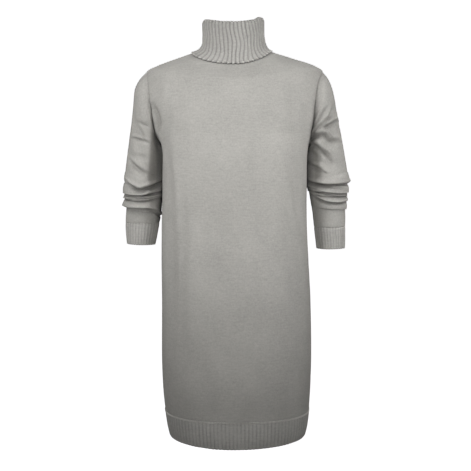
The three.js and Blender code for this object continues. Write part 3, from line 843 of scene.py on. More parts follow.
@dataclass(frozen=True)
class RibForm:
    """How the ribs of a piece stand.

    Attributes:
        height: how far they stand out.
        fullness: lower for fuller ribs with narrower grooves.
        unevenness: how slack they are in places.
        groove_shade: how much shade is painted into their grooves.
    """

    height: float
    fullness: float
    unevenness: float
    groove_shade: float

    def raise_on(self, piece: Object, wardrobe: Wardrobe) -> None:
        """Raises the ribs on a wall.

        Args:
            piece: the wall.
            wardrobe: the shared finishes and trees.
        """
        through_tree(piece, wardrobe.ribs, {
            "Rib Height": self.height * MM, "Fullness": self.fullness, "Unevenness": self.unevenness,
            "Groove Shade": self.groove_shade, "Material": wardrobe.ribbing})


def near_edges(count: int, edge: tuple[float, ...]) -> Array:
    """Shares from 0 to 1 in even steps, with a few more close to both ends.

    Args:
        count: how many steps.
        edge: the extra shares after 0.

    Returns:
        The shares in order.
    """
    steps = np.linspace(0, 1, count + 1)
    return np.unique(np.concatenate([steps, edge, 1 - np.array(edge)]))


ARMHOLE_STEPS = 62
ARMHOLE_EVENNESS = 0.3  # 0 divides an armhole evenly by angle, 1 by height


def armhole_angles() -> Array:
    """Angles down the front half of an armhole, from the shoulder tip to the underarm.

    Returns:
        The angles in order.
    """
    turn = np.linspace(0, 1, ARMHOLE_STEPS + 1)
    by_angle = (1 - np.cos(math.pi * turn)) / 2
    return np.arccos(np.clip(1 - 2 * (by_angle + (turn - by_angle) * ARMHOLE_EVENNESS), -1, 1))


@dataclass
class Panel:
    """The front or the back of the dress, from the hem seam to the shoulder seams and the neckline.

    Attributes:
        is_front: which of the two.
        flat_width, flat_length: the cut, with its shoulders laid out; not used.
        flat_area: the cut's area in square metres; not used.
    """

    is_front: bool
    flat_width: float = 500
    flat_length: float = 895
    flat_area: float = 0.387
    columns: int = 104
    skirt_rows: int = 118
    shoulder_rows: int = 30

    EDGE_SHARES = (0.0018, 0.0042, 0.0075)
    EDGE_UPS = (1.2, 2.8, 5)
    EDGE_BLEND = 12  # over how much of its edge the wall turns to the seam's own direction

    def heights(self) -> tuple[Array, Array]:
        """Returns the height of each row, and its angle round the armhole or nothing.

        Returns:
            The heights and the angles, from the hem seam up.
        """
        hem, underarm = Torso.HEM_SEAM_UP, Torso.UNDERARM_UP
        skirt = np.linspace(hem, underarm, self.skirt_rows + 1)[:-1]
        skirt = np.unique(np.concatenate([skirt, hem + np.array(self.EDGE_UPS)]))
        skirt[0] += SEAM_GAP / 2
        arm = armhole_angles()[::-1]
        sleeve = Torso.SHOULDER_TIP_UP + (underarm - Torso.SHOULDER_TIP_UP) * (1 - np.cos(arm)) / 2
        shoulder = np.linspace(Torso.SHOULDER_TIP_UP, Torso.NECKLINE_UP, self.shoulder_rows + 1)[1:]
        ups = np.concatenate([skirt, sleeve, shoulder])
        return ups, np.concatenate([np.full(len(skirt), np.nan), arm, np.full(len(shoulder), np.nan)])

    def shell(self) -> Shell:
        """Builds the panel's wall.

        Returns:
            The wall.
        """
        ups, arms = self.heights()
        facing, start = (1, 0.0) if self.is_front else (-1, math.pi)
        share = near_edges(self.columns, self.EDGE_SHARES)
        reach = np.where(np.isnan(arms), 0, Torso.ARMHOLE_REACH * np.sin(np.nan_to_num(arms)))
        ends = [start + reach, start + math.pi - reach]
        speed = [np.linalg.norm(TORSO.form(end + Torso.ANGLE_STEP, ups) - TORSO.form(end, ups), axis=-1)
                 / Torso.ANGLE_STEP for end in ends]
        first = ends[0] - reach + SEAM_GAP / 2 / speed[0]
        last = ends[1] + reach - SEAM_GAP / 2 / speed[1]
        angle = first[:, None] + (last - first)[:, None] * share + reach[:, None] * (1 - 2 * share) ** 3
        up = np.broadcast_to(ups[:, None], angle.shape)
        points, normals = TORSO.point(angle, up), TORSO.normal(angle, up)
        along = lengths(points, 1)
        for column, distance in ((0, along), (-1, along[:, -1:] - along)):
            side = 1 if (column == 0) == self.is_front else -1
            rows = ~np.isnan(arms)
            out, seam_normal = TORSO.armhole_frame(side, facing * arms[rows])
            points[rows, column] = TORSO.armhole(side, facing * arms[rows]) - out * SEAM_GAP / 2
            points[rows, column, 1] -= facing * SEAM_GAP / 2 * (np.sin(arms[rows]) < Torso.ANGLE_STEP)
            near = np.clip(1 - distance[rows] / self.EDGE_BLEND, 0, 1)[..., None]
            normals[rows] = unit(normals[rows] * (1 - near) + seam_normal[:, None] * near)
        return Shell(points, normals, turned=True, seam_rows=(0, -1), seam_columns=(0, -1))

    def build(self) -> Object:
        """Makes the panel's object."""
        return self.shell().object("front_panel_cloth" if self.is_front else "back_panel_cloth")

    def dress(self, piece: Object, wardrobe: Wardrobe) -> None:
        """Gives the panel its finish and its place in the frame.

        Args:
            piece: the panel's object.
            wardrobe: the shared finishes and trees.
        """
        piece.data.materials.append(wardrobe.jersey)
        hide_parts("front" if self.is_front else "back")
        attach(piece, BODY)


@dataclass
class HemBand:
    """Half of the ribbed hem, under the front or the back.

    Attributes:
        is_front: which of the two.
        ribs: how many in this half.
        flat_width, flat_length: the cut; not used.
    """

    is_front: bool
    ribs: int = 56
    columns_per_rib: int = 8
    rows: int = 16
    rib_form: RibForm = RibForm(height=1.7, fullness=0.6, unevenness=1.1, groove_shade=0.75)
    flat_width: float = 505
    flat_length: float = 58

    GIRTH_STEPS = 336  # how finely half of the girth is measured
    SEAM_RISE = 0.35  # how much of their height the ribs keep at the hem seam
    SEAM_REACH = 5  # how far from the seam they have it all
    EDGE_UPS = (0.0, 1.0)
    ROWS_FROM = 3  # above the two rows at its edge

    def even_angles(self, up: float) -> Array:
        """Angles that share the girth evenly between the side seams, at one height.

        Args:
            up: the height.

        Returns:
            The angles of the columns.
        """
        start = 0.0 if self.is_front else math.pi
        count = self.ribs * self.columns_per_rib
        fine = start + np.linspace(0, math.pi, self.GIRTH_STEPS + 1)
        girth = lengths(TORSO.point(fine, np.full_like(fine, up))[None], 1)[0]
        wanted = np.linspace(SEAM_GAP / 2, girth[-1] - SEAM_GAP / 2, count + 1)
        return np.interp(wanted, girth, fine)

    def shell(self) -> Shell:
        """Builds the band's wall.

        Returns:
            The wall.
        """
        top = Torso.HEM_SEAM_UP - SEAM_GAP / 2
        ups = np.concatenate([self.EDGE_UPS, np.linspace(self.ROWS_FROM, top, self.rows)])
        angle = np.stack([self.even_angles(up) for up in ups])
        up = np.broadcast_to(ups[:, None], angle.shape)
        rise = np.clip((top - up) / self.SEAM_REACH, 0, 1) * (1 - self.SEAM_RISE) + self.SEAM_RISE
        rib = (np.arange(angle.shape[1]) / self.columns_per_rib + 0.5)[None]
        return Shell(TORSO.point(angle, up), TORSO.normal(angle, up), turned=True, rib=rib, rise=rise,
                     free_rows=(0,), seam_rows=(-1,))

    def build(self, wardrobe: Wardrobe) -> Object:
        """Makes the band's object.

        Args:
            wardrobe: the shared finishes and trees.

        Returns:
            The object.
        """
        piece = self.shell().object("hem_front_ribbing" if self.is_front else "hem_back_ribbing")
        self.rib_form.raise_on(piece, wardrobe)
        return piece

    def dress(self, piece: Object) -> None:
        """Gives the band its place in the frame.

        Args:
            piece: the band's object.
        """
        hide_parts("hem_rib_front" if self.is_front else "hem_rib_back")
        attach(piece, BODY)


@dataclass
class Sleeve:
    """A sleeve pushed up to the forearm, with its cuff.

    Attributes:
        side: 1 for the wearer's left, -1 for the right.
        rings: the rings down the sleeve, the armhole left out.
        folds: its creases, by degrees round the sleeve from its outer side by way of the front, and by ring.
        flat_width, flat_length: the cut; not used.
        flat_area: the cut's area in square metres; not used.
        cuff_flat_width, cuff_flat_length: the cuff's cut; not used.
        contact_end: the ring where the sleeve parts from the body.
        tuck: how far its inner side is drawn in behind its front, as a share of its depth.
    """

    side: int
    rings: Table
    folds: list[Fold]
    flat_width: float
    flat_length: float
    flat_area: float
    contact_end: float
    tuck: float
    ring_steps: int = 14
    cuff_ribs: int = 32
    cuff_columns_per_rib: int = 8
    cuff_rows: int = 14
    cuff_rib_form: RibForm = RibForm(height=1.5, fullness=0.6, unevenness=0.5, groove_shade=0.5)
    cuff_flat_width: float = 245
    cuff_flat_length: float = 50

    SHOULDER_SLOPE = 0.5
    CUFF_SEAM_RING = 14
    CUFF_EDGE_RING = 16
    CUFF_RING_LENGTH = 24
    CUFF_SEAM_STEP = 17
    CUFF_SINK = 0.45  # the share of its ribs' height that the cuff's wall lies deeper than the sleeve's
    ANGLE_STEP = 0.004
    RING_STEP = 0.01
    CUFF_SEAM_RISE = 0.35  # how much of their height the cuff's ribs keep at its seam
    CUFF_SEAM_REACH = 0.25  # how many rings from the seam they have it all
    CUFF_EDGE_RINGS = (0.12, 0.04)
    EDGE_RINGS = (0.03, 0.07, 0.13)
    END_RINGS = (0.15, 0.06, 0)
    SEAM_BLEND = 0.5  # over how many rings the wall turns from the armhole's own direction
    # A hanging fold is fullest below its middle and hangs down by a share of its height. It lies nearly flat
    # where the sleeve meets the body.
    PUFF_RISE = 0.6
    PUFF_FALL = 0.35
    PUFF_DROOP = 0.45
    PUFF_AT_BODY = 0.12
    # The inner side rests against the body from CONTACT_START on, over the part of its girth that faces it.
    CONTACT_START = 0.2
    CONTACT_RINGS = 1.6
    CONTACT_FROM = 0.7
    CONTACT_GAP = 0.3
    # The tuck runs along TUCK_RINGS, fading to both ends, and grows round the inner side from TUCK_FROM on.
    TUCK_RINGS = (0.5, 8.6)
    TUCK_FROM = 0.3
    TUCK_FADE = 0.5

    EDGE_STEPS = 1440  # how finely the armhole's edge is measured

    def __post_init__(self) -> None:
        """Measures the armhole's edge once."""
        self.edge_angles = np.linspace(0, 2 * math.pi, self.EDGE_STEPS + 1)
        self.edge = TORSO.armhole(self.side, self.edge_angles)

    @property
    def hand(self) -> str:
        """The side's name."""
        return "left" if self.side > 0 else "right"

    def form(self, angle: Array, ring: Array) -> Array:
        """Returns points of the outer face before its folds.

        Args:
            angle, ring: the places.

        Returns:
            The points.
        """
        at = np.clip(ring, 0, self.CUFF_EDGE_RING)
        outward, forward = (1 + np.cos(angle)) / 2, np.sin(angle)
        columns = {name: self.rings.column(name).reshape(-1, *[1] * angle.ndim) for name in self.rings.names}
        drop = np.where(forward > 0, columns["front_drop"], columns["back_drop"]) * forward**2
        across = columns["in_x"] + (columns["out_x"] - columns["in_x"]) * outward
        height = columns["in_z"] + (columns["out_z"] - columns["in_z"]) * outward - drop
        depth = columns["mid_y"] - columns["depth"] * forward
        rings = np.stack([self.side * across, depth, height], axis=-1)
        turn = angle % (2 * math.pi)
        edge = np.stack([np.interp(turn, self.edge_angles, self.edge[:, axis]) for axis in range(3)], axis=-1)
        places = np.concatenate([edge[None], rings])
        keys = np.arange(len(places), dtype=float)
        points = np.stack([joined(keys, places[..., axis], at) for axis in range(3)], axis=-1)
        points[..., 2] -= (ring - at) * self.CUFF_RING_LENGTH
        return points

    def normal(self, angle: Array, ring: Array) -> Array:
        """Returns the outward normals."""
        return self.side * normals_of(self.form, angle, ring, self.ANGLE_STEP, self.RING_STEP)

    def hanging(self, share: Array) -> Array:
        """Returns the height of a hanging fold across its width, as a share of its full height.

        Args:
            share: how far down across the fold.

        Returns:
            The height at each place.
        """
        peak = self.PUFF_RISE / (self.PUFF_RISE + self.PUFF_FALL)
        full = peak**self.PUFF_RISE * (1 - peak) ** self.PUFF_FALL
        return share**self.PUFF_RISE * (1 - share) ** self.PUFF_FALL / full

    def face(self, angle: Array, ring: Array, folds: list[Fold]) -> tuple[Array, Array]:
        """Builds the outer face with its folds.

        Args:
            angle, ring: the places.
            folds: the creases on it.

        Returns:
            The points and the normals.
        """
        points, normals = self.form(angle, ring), self.normal(angle, ring)
        puffs = np.concatenate([[0], self.rings.column("puff"), [0]])
        freedom = np.minimum(1, self.PUFF_AT_BODY + 1 + np.cos(angle))
        swell = puffs[np.floor(ring).astype(int)] * freedom * self.hanging(ring % 1)
        relief = swell + sum(fold.relief(self.form, points, normals) for fold in folds)
        raised = points + relief[..., None] * normals
        raised[..., 2] -= self.PUFF_DROOP * swell
        first, last = self.TUCK_RINGS
        inner = np.clip((-np.cos(angle) - self.TUCK_FROM) / (1 - self.TUCK_FROM), 0, 1) * (np.sin(angle) > 0)
        along = np.sin(math.pi * np.clip((ring - first) / (last - first), 0, 1)) ** self.TUCK_FADE
        raised[..., 1] *= 1 - self.tuck * along * inner**2 * (3 - 2 * inner)
        return self.beside_body(raised, angle, ring), normals

    def beside_body(self, points: Array, angle: Array, ring: Array) -> Array:
        """Moves the inner side of the sleeve over to the side of the body, where the two touch.

        Args:
            points: the outer face.
            angle, ring: their places.

        Returns:
            The moved points.
        """
        inward = (-np.cos(angle) - self.CONTACT_FROM) / (1 - self.CONTACT_FROM)
        ends = np.minimum(ring - self.CONTACT_START, self.contact_end - ring) / self.CONTACT_RINGS
        near, long = (np.clip(share, 0, 1) ** 2 * (3 - 2 * np.clip(share, 0, 1)) for share in (inward, ends))
        gap = self.side * points[..., 0] - TORSO.side_at(self.side, points) - self.CONTACT_GAP
        moved = points.copy()
        moved[..., 0] -= self.side * gap * near * long
        return moved

    def angles(self) -> Array:
        """Angles of the columns round the sleeve, from the underarm by way of the back and the shoulder."""
        front = armhole_angles()
        return np.concatenate([2 * math.pi - front[::-1], front[1:-1]])

    def sleeve_shell(self) -> Shell:
        """Builds the sleeve's wall, from the armhole to the cuff seam.

        Returns:
            The wall.
        """
        last = self.CUFF_SEAM_RING - SEAM_GAP / 2 / self.CUFF_SEAM_STEP
        even = np.linspace(0, self.CUFF_SEAM_RING, self.CUFF_SEAM_RING * self.ring_steps + 1)
        rings = np.unique(np.concatenate([even[:-1], self.EDGE_RINGS, last - np.array(self.END_RINGS)]))
        angle, ring = np.meshgrid(self.angles(), rings)
        points, normals = self.face(angle, ring, self.folds)
        out, seam_normal = TORSO.armhole_frame(self.side, self.angles())
        points[0] = TORSO.armhole(self.side, self.angles()) + out * SEAM_GAP / 2
        near = np.clip(1 - rings / self.SEAM_BLEND, 0, 1)[:, None, None]
        normals = unit(normals * (1 - near) + seam_normal * near)
        return Shell(points, normals, is_tube=True, turned=self.side < 0, seam_rows=(0, -1))

    def cuff_shell(self) -> Shell:
        """Builds the cuff's wall, from its seam to its edge.

        Returns:
            The wall.
        """
        first = self.CUFF_SEAM_RING + SEAM_GAP / 2 / self.CUFF_SEAM_STEP
        last = self.CUFF_EDGE_RING
        from_edge, at_edge = self.CUFF_EDGE_RINGS
        rings = np.concatenate([np.linspace(first, last - from_edge, self.cuff_rows), [last - at_edge, last]])
        count = self.cuff_ribs * self.cuff_columns_per_rib
        turn = math.pi + 2 * math.pi * np.arange(count) / count
        angle, ring = np.meshgrid(turn, rings)
        points, normals = self.face(angle, ring, [])
        points -= self.cuff_rib_form.height * self.CUFF_SINK * normals
        risen = np.clip((ring - first) / self.CUFF_SEAM_REACH, 0, 1)
        rise = risen * (1 - self.CUFF_SEAM_RISE) + self.CUFF_SEAM_RISE
        rib = (np.arange(count) / self.cuff_columns_per_rib)[None]
        return Shell(points, normals, is_tube=True, turned=self.side < 0, rib=rib, rise=rise,
                     free_rows=(-1,), seam_rows=(0,))

    def build(self, wardrobe: Wardrobe) -> tuple[Object, Object]:
        """Makes the sleeve's object and the cuff's.

        Args:
            wardrobe: the shared finishes and trees.

        Returns:
            The two objects.
        """
        cuff = self.cuff_shell().object(f"cuff_{self.hand}_ribbing")
        self.cuff_rib_form.raise_on(cuff, wardrobe)
        return self.sleeve_shell().object(f"sleeve_{self.hand}_cloth"), cuff

    def dress(self, sleeve: Object, cuff: Object, wardrobe: Wardrobe) -> None:
        """Gives both their finish and their place in the frame.

        Args:
            sleeve, cuff: the two objects.
            wardrobe: the shared finishes and trees.
        """
        sleeve.data.materials.append(wardrobe.jersey)
        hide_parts(f"sleeve_{self.hand}")
        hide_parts(f"cuff_{self.hand}")
        for piece, slot in ((sleeve, "jersey"), (cuff, "rib")):
            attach(piece, BODY)


SLEEVE_COLUMNS = "out_x out_z in_x in_z depth mid_y front_drop back_drop puff"
RIGHT_RINGS = Table(SLEEVE_COLUMNS, [
    (218, -50, 170, -204, 56, 0, 0, 0, 0),
    (229, -74, 169, -214, 57, 0, 0, 0, 0),
    (232.5, -108, 168, -228, 57, 1, 0, 0, 0),
    (237, -148, 167.5, -243, 56, 2, 2, 0, 0),
    (243, -188, 167.5, -255, 55, 2, 3, 0, 0),
    (248, -226, 168, -264, 54, 2, 3, 1, 0),
    (251.5, -256, 168.5, -270, 54, 1, 5, 3, 3),
    (252, -279, 169, -280, 52, 0, 17, 7, 6),
    (252, -305, 169.5, -303, 51, 0, 4, 4, 4.5),
    (251.5, -318, 170.5, -316, 50, -1, 5, 3, 8),
    (249.5, -336, 171.5, -355, 43, -2, -3, 2, 0),
    (250.5, -347, 171, -360, 41, -2, 0, 0, 0),
    (251.5, -360, 172.5, -366, 39.5, -2, 0, 0, 0),
    (252, -373, 174.5, -374, 38, -3, 0, 0, 0),
    (251, -397, 179, -399, 37, -4, 0, 0, 0),
    (249, -421, 184, -423, 36, -5, 0, 0, 0),
])
LEFT_RINGS = Table(SLEEVE_COLUMNS, [
    (209, -46, 168, -205, 56, 0, 0, 0, 0),
    (219, -68, 167, -216, 57, 0, 0, 0, 0),
    (227, -102, 165.5, -229, 57, 0, 0, 0, 0),
    (234, -140, 165.5, -243, 56, 1, 2, 0, 0),
    (242, -180, 165.5, -254, 55, 1, 2, 0, 0),
    (249.5, -222, 165, -262, 54, 0, 3, 2, 0),
    (255, -256, 164.5, -268, 54, 0, 5, 3, 5),
    (256, -284, 164, -280, 52, 0, 4, 4, 5),
    (253.5, -303, 164.5, -290, 51, 0, 5, 3, 4),
    (252.5, -312, 165.5, -296, 50, 0, 5, 3, 5.5),
    (252, -323, 168, -302, 45, -1, 8, 3, 4),
    (251, -343, 174.5, -338, 41, -2, 1, 1, 0),
    (252, -362, 177.5, -360, 39.5, -2, 0, 0, 0),
    (251.5, -382, 180, -383, 38, -3, 0, 0, 0),
    (251.5, -407, 183, -407, 37, -4, 0, 0, 0),
    (251, -431, 186, -432, 36, -5, 0, 0, 0),
])
# The large creases of the solids come first, then those of the upper arm and of the pushed-up bunch in front,
# and then those behind. A lapped fold runs the way that leaves its full side above it.
RIGHT_FOLDS = [
    Fold(((25, 3.4), (75, 4.1)), 14, -2.2),
    Fold(((45, 3.7), (95, 5.6)), 16, -2.6),
    Fold(((15, 5.2), (80, 6.2)), 16, -2.4),
    Fold(((200, 3.6), (285, 5.2)), 18, -2.6),
    Fold(((54, 3.4), (80, 2.8), (109, 1.6)), 8, -4, Profile.PINCHED),
    Fold(((58, 3.5), (72, 3.6), (85, 3.7), (99, 3.5)), 10, -4.3, Profile.PINCHED),
    Fold(((101, 3.4), (69, 4.1), (36, 4.6)), 11, -3.6, Profile.LAPPED),
    Fold(((54, 5.5), (81, 5.2), (105, 4.8)), 10, -2.7),
    Fold(((41, 5.9), (72, 6.1), (116, 6.4)), 15, 4.2, Profile.LAPPED),
    Fold(((31, 7.6), (57, 7.7), (76, 7.8), (89, 8.0), (101, 7.9)), 13, 6.3, Profile.LAPPED),
    Fold(((87, 7.8), (108, 7.7), (137, 7.7), (178, 7.7)), 13, 6.9, Profile.LAPPED),
    Fold(((89, 8.9), (119, 8.5), (174, 8.6)), 8, 4.5, Profile.LAPPED),
    Fold(((9, 9.1), (57, 9.1), (95, 9.0), (132, 8.8), (172, 8.9)), 8, 4.8, Profile.LAPPED),
    Fold(((11, 9.8), (62, 9.6), (87, 9.4), (133, 9.6), (172, 9.6)), 7, 3.9, Profile.LAPPED),
    Fold(((34, 9.9), (79, 9.9), (116, 9.9), (172, 9.9)), 7, 3.3, Profile.LAPPED),
    Fold(((4, 10.7), (59, 10.6), (95, 10.5), (119, 10.6), (145, 10.8), (178, 11.3)), 10, 5.4, Profile.LAPPED),
    Fold(((203, 3.6), (225, 2.8), (250, 2.0)), 9, -3.6, Profile.PINCHED),
    Fold(((225, 4.4), (270, 4.2), (310, 3.6)), 11, -4, Profile.PINCHED),
    Fold(((230, 5.8), (285, 5.6), (330, 5.0)), 11, -3),
    Fold(((188, 7.8), (230, 7.9), (285, 7.8), (345, 7.7)), 12, 6.3, Profile.LAPPED),
    Fold(((190, 8.9), (250, 8.7), (320, 9.0)), 8, 4.5, Profile.LAPPED),
    Fold(((200, 9.7), (265, 9.5), (350, 9.7)), 8, 4.5, Profile.LAPPED),
    Fold(((186, 11.1), (240, 10.7), (300, 10.6), (350, 10.7)), 10, 5.1, Profile.LAPPED),
]
LEFT_FOLDS = [
    Fold(((12, 3.3), (75, 2.9)), 14, -2.8),
    Fold(((20, 4.3), (100, 3.1)), 16, -3.6),
    Fold(((45, 5.6), (110, 3.6)), 18, -4.2),
    Fold(((70, 6.3), (120, 5.1)), 18, -3.4),
    Fold(((205, 3.4), (290, 5.0)), 18, -2.6),
    Fold(((109, 0.5), (92, 1.1), (72, 1.8)), 10, 2.8, Profile.LAPPED),
    Fold(((125, 0.5), (94, 2.1), (66, 2.8), (51, 2.8)), 12, 4.2, Profile.LAPPED),
    Fold(((96, 2.4), (72, 3.2), (22, 4.0)), 16, 5.5, Profile.LAPPED),
    Fold(((135, 0.5), (112, 2.2), (82, 3.6), (70, 4.3), (38, 5.0)), 17, 7, Profile.LAPPED),
    Fold(((154, 0.5), (125, 2.6), (103, 4.1), (87, 5.0), (82, 5.4)), 17, 7.5, Profile.LAPPED),
    Fold(((176, 0.7), (138, 3.3), (116, 4.4)), 12, -4.3),
    Fold(((164, 3.3), (130, 5.1), (107, 6.2)), 17, 5.5, Profile.LAPPED),
    Fold(((176, 7.6), (132, 7.8), (101, 7.8), (65, 7.8), (4, 7.8)), 13, 6.9, Profile.LAPPED),
    Fold(((84, 8.2), (64, 8.2), (24, 8.2)), 6, 3, Profile.LAPPED),
    Fold(((142, 10.0), (111, 9.4), (75, 9.1), (7, 9.1)), 8, 4.8, Profile.LAPPED),
    Fold(((139, 10.7), (104, 10.2), (74, 9.9), (22, 9.8)), 7, 3.9, Profile.LAPPED),
    Fold(((156, 10.9), (131, 11.2), (110, 11.2), (73, 11.0), (28, 10.8)), 9, 5.1, Profile.LAPPED),
    Fold(((250, 1.6), (228, 2.6), (205, 3.6)), 10, -4.3, Profile.PINCHED),
    Fold(((305, 3.0), (265, 4.0), (228, 5.2)), 11, -4.9, Profile.PINCHED),
    Fold(((320, 5.2), (280, 5.8), (235, 6.0)), 12, -3.2),
    Fold(((352, 7.8), (290, 7.9), (235, 7.8), (186, 7.7)), 12, 6.3, Profile.LAPPED),
    Fold(((350, 9.0), (280, 8.8), (200, 9.0)), 8, 4.5, Profile.LAPPED),
    Fold(((345, 9.9), (265, 9.7), (200, 10.0)), 8, 4.2, Profile.LAPPED),
    Fold(((345, 10.9), (260, 11.0), (195, 10.9)), 9, 4.8, Profile.LAPPED),
]


@dataclass
class RollNeck:
    """The ribbed roll neck: a tube that rises from the neckline, folds over and comes down to its free edge.

    Attributes:
        ribs: how many all round.
        rest: the free edge's clearance from the shoulders.
        layer_gap: between the two layers.
        fold_swell: how much further apart they are at the fold.
    """

    ribs: int = 48
    columns_per_rib: int = 8
    rib_form: RibForm = RibForm(height=2.5, fullness=0.5, unevenness=0.3, groove_shade=0.72)
    rest: float = 0.6
    layer_gap: float = 1.2
    fold_swell: float = 3
    flap_rows: int = 26
    fold_rows: int = 9
    stand_rows: int = 14
    seam_rows: int = 5
    flat_width: float = 450
    flat_length: float = 188

    STAND_FOOT = 0.12
    STAND_HEAD = 0.93
    # The ribs shift round by DRIFT degrees on their way down from the fold, and waver a little besides.
    DRIFT = 4.5
    DRIFT_TO = 0.45
    WAVER = 1.1
    WAVES = ((1, 3, 7, 0), (0.6, 7, -11, 2))  # how strong, how many round and down, and where they start
    SCALLOP = 2.4  # how much further down the free edge hangs at a rib's crown than at a groove
    EDGE_SHARES = (0.02, 0.055)
    # The ribs' height at the free edge, as a share, and how much of the way up it takes them to reach it all
    EDGE_RISE = (0.3, 0.14)
    # Half widths and half depths of the turned-down layer, by share of the way up from its free edge
    OVALS = Table("share right left front back", [
        (0, 94, 83, 76, 68),
        (0.13, 79, 72, 72, 65),
        (0.3, 73.3, 66, 69, 62),
        (0.55, 73, 63.5, 66.5, 60),
        (0.85, 73.5, 63.5, 66, 60),
        (1, 72, 62.5, 64.5, 59),
    ])
    # How far past the neckline the free edge spreads, and the height of the fold, by degrees round
    RIM = Table("angle spread fold_z", [
        (0, 6, 87),
        (28, 11.5, 85.5),
        (45, 19, 78),
        (57, 19.5, 74),
        (75, 16.5, 72.5),
        (90, 17, 72),
        (106, 20.5, 72.5),
        (121, 31, 73.5),
        (135, 37, 76),
        (150, 31, 79),
        (165, 20, 81.5),
        (180, 14, 83.5),
        (215, 9, 86),
        (270, 8, 88),
        (335, 6.5, 90),
        (360, 6, 87),
    ])
    FOOT = 9  # how far past the neckline the layer's heights are measured from
    # Under BEND of the way up, the layer curves out to its free edge over the shoulders. CURVE is how far it
    # first goes straight on, as a share of the way.
    BEND = 0.13
    CURVE = 0.3
    LEVEL_STEP = 0.04  # between the two levels that show which way is straight on
    BEAD_LEVEL = 0.006  # the edge's stitches: how far up they are, and their sizes
    BEAD_DEPTH = -0.1
    BEAD_LENGTH = 6
    BEAD_WIDTH = 2.2
    BEAD_LEAN = 0.3
    EDGE_STEPS = 12  # for each rib, along the line of those stitches

    def drifted(self, angle: Array, share: float) -> Array:
        """Returns where the ribs that start at these angles of the fold are, at one level of a layer.

        Args:
            angle: where the ribs start.
            share: the level, as a share of the way up.

        Returns:
            The angles at that level.
        """
        down = min(1.0, (1 - share) / (1 - self.DRIFT_TO))
        drift = self.DRIFT * down**2 * (3 - 2 * down)
        waver = sum(size * np.sin(across * angle + below * share + start)
                    for size, across, below, start in self.WAVES)
        return angle - np.radians(drift + self.WAVER * waver * down)

    def flap_shares(self) -> Array:
        """Returns the levels of the turned-down layer's rows, as shares of the way up."""
        return np.unique(np.concatenate([np.linspace(0, 1, self.flap_rows + 1)[:-1], self.EDGE_SHARES]))

    def free_edge(self, angle: Array) -> tuple[Array, Array]:
        """Returns the free edge's points on its under side and the level directions out of them.

        Args:
            angle: of the columns.

        Returns:
            The points and the directions.
        """
        up = Torso.NECKLINE_UP - self.RIM.at("spread", np.degrees(angle))
        points = TORSO.point(angle, up) + TORSO.normal(angle, up) * self.rest
        return points, unit(points * [1, 1, 0])

    def face(self, angle: Array, share: float) -> tuple[Array, Array]:
        """Returns one level of the turned-down layer's outer face and the level directions out of it.

        Args:
            angle: of the columns.
            share: the level, as a share of the way up.

        Returns:
            The points and the directions.
        """
        at = np.full_like(angle, share)
        low = TORSO.form(angle, np.full_like(angle, Torso.NECKLINE_UP - self.FOOT))[:, 2]
        high = self.RIM.at("fold_z", np.degrees(angle))
        reaches = {name: self.OVALS.at(name, at) for name in ("left", "right", "front", "back")}
        points = oval(angle, **reaches, square=2, z=low + (high - low) * share)
        return points, unit(points * [1, 1, 0])

    def foot(self, angle: Array, share: float) -> tuple[Array, Array]:
        """Returns one level of the turned-down layer's flared foot, as the function above does.

        Args:
            angle: of the columns.
            share: the level, as a share of the way up.

        Returns:
            The points and the directions.
        """
        edge, out = self.free_edge(angle)
        end, _ = self.face(angle, self.BEND)
        straight = unit(end - self.face(angle, self.BEND + self.LEVEL_STEP)[0])
        bend = end + straight * self.CURVE * np.linalg.norm(end - edge, axis=-1, keepdims=True)
        rest = bend - edge
        edge = edge + unit(np.cross(rest, np.cross(out, rest))) * WALL
        t = share / self.BEND
        points = edge * (1 - t) ** 2 + bend * 2 * t * (1 - t) + end * t * t
        run = (bend - edge) * (1 - t) + (end - bend) * t
        return points, unit(np.cross(run, np.cross(out, run)))

    def layers_apart(self, share: float) -> float:
        """Returns how far the two layers' outer faces are apart, less one wall."""
        return WALL + self.layer_gap + self.fold_swell * share**3

    def rows(self, angle: Array) -> tuple[Array, Array]:
        """Builds the wall's face, row by row, from the free edge over the fold to the neckline.

        Args:
            angle: of the columns.

        Returns:
            The points and the directions that the face looks in.
        """
        rows = []
        for share in self.flap_shares():
            layer = self.foot if share < self.BEND else self.face
            rows.append(layer(self.drifted(angle, share), share))
        grooves = 1 - np.abs(np.cos(angle / 2 * self.ribs))
        rows[0][0][:] += grooves[:, None] * unit(rows[2][0] - rows[0][0]) * self.SCALLOP
        top, out = self.face(angle, 1)
        radius = (self.layers_apart(1) + WALL) / 2
        centre = top - out * radius - [0, 0, radius]
        for turn in math.pi * (np.arange(self.fold_rows) + 0.5) / self.fold_rows:
            normal = out * math.cos(turn) + np.array([0, 0, math.sin(turn)])
            rows.append((centre + normal * radius, normal))
        for share in np.linspace(self.STAND_HEAD, self.STAND_FOOT, self.stand_rows):
            points, out = self.face(angle, share)
            rows.append((points - out * (self.layers_apart(share) + WALL), -out))
        foot, inward = rows[-1]
        neckline = np.full_like(angle, Torso.NECKLINE_UP)
        normal = TORSO.normal(angle, neckline)
        upward = unit(TORSO.point(angle, neckline) - TORSO.point(angle, neckline - Torso.UP_STEP))
        seam = TORSO.point(angle, neckline) - normal * WALL + upward * SEAM_GAP
        for share in np.linspace(0, 1, self.seam_rows + 1)[1:]:
            rows.append((foot + (seam - foot) * share, unit(inward * (1 - share) - normal * share)))
        return np.stack([row[0] for row in rows]), np.stack([row[1] for row in rows])

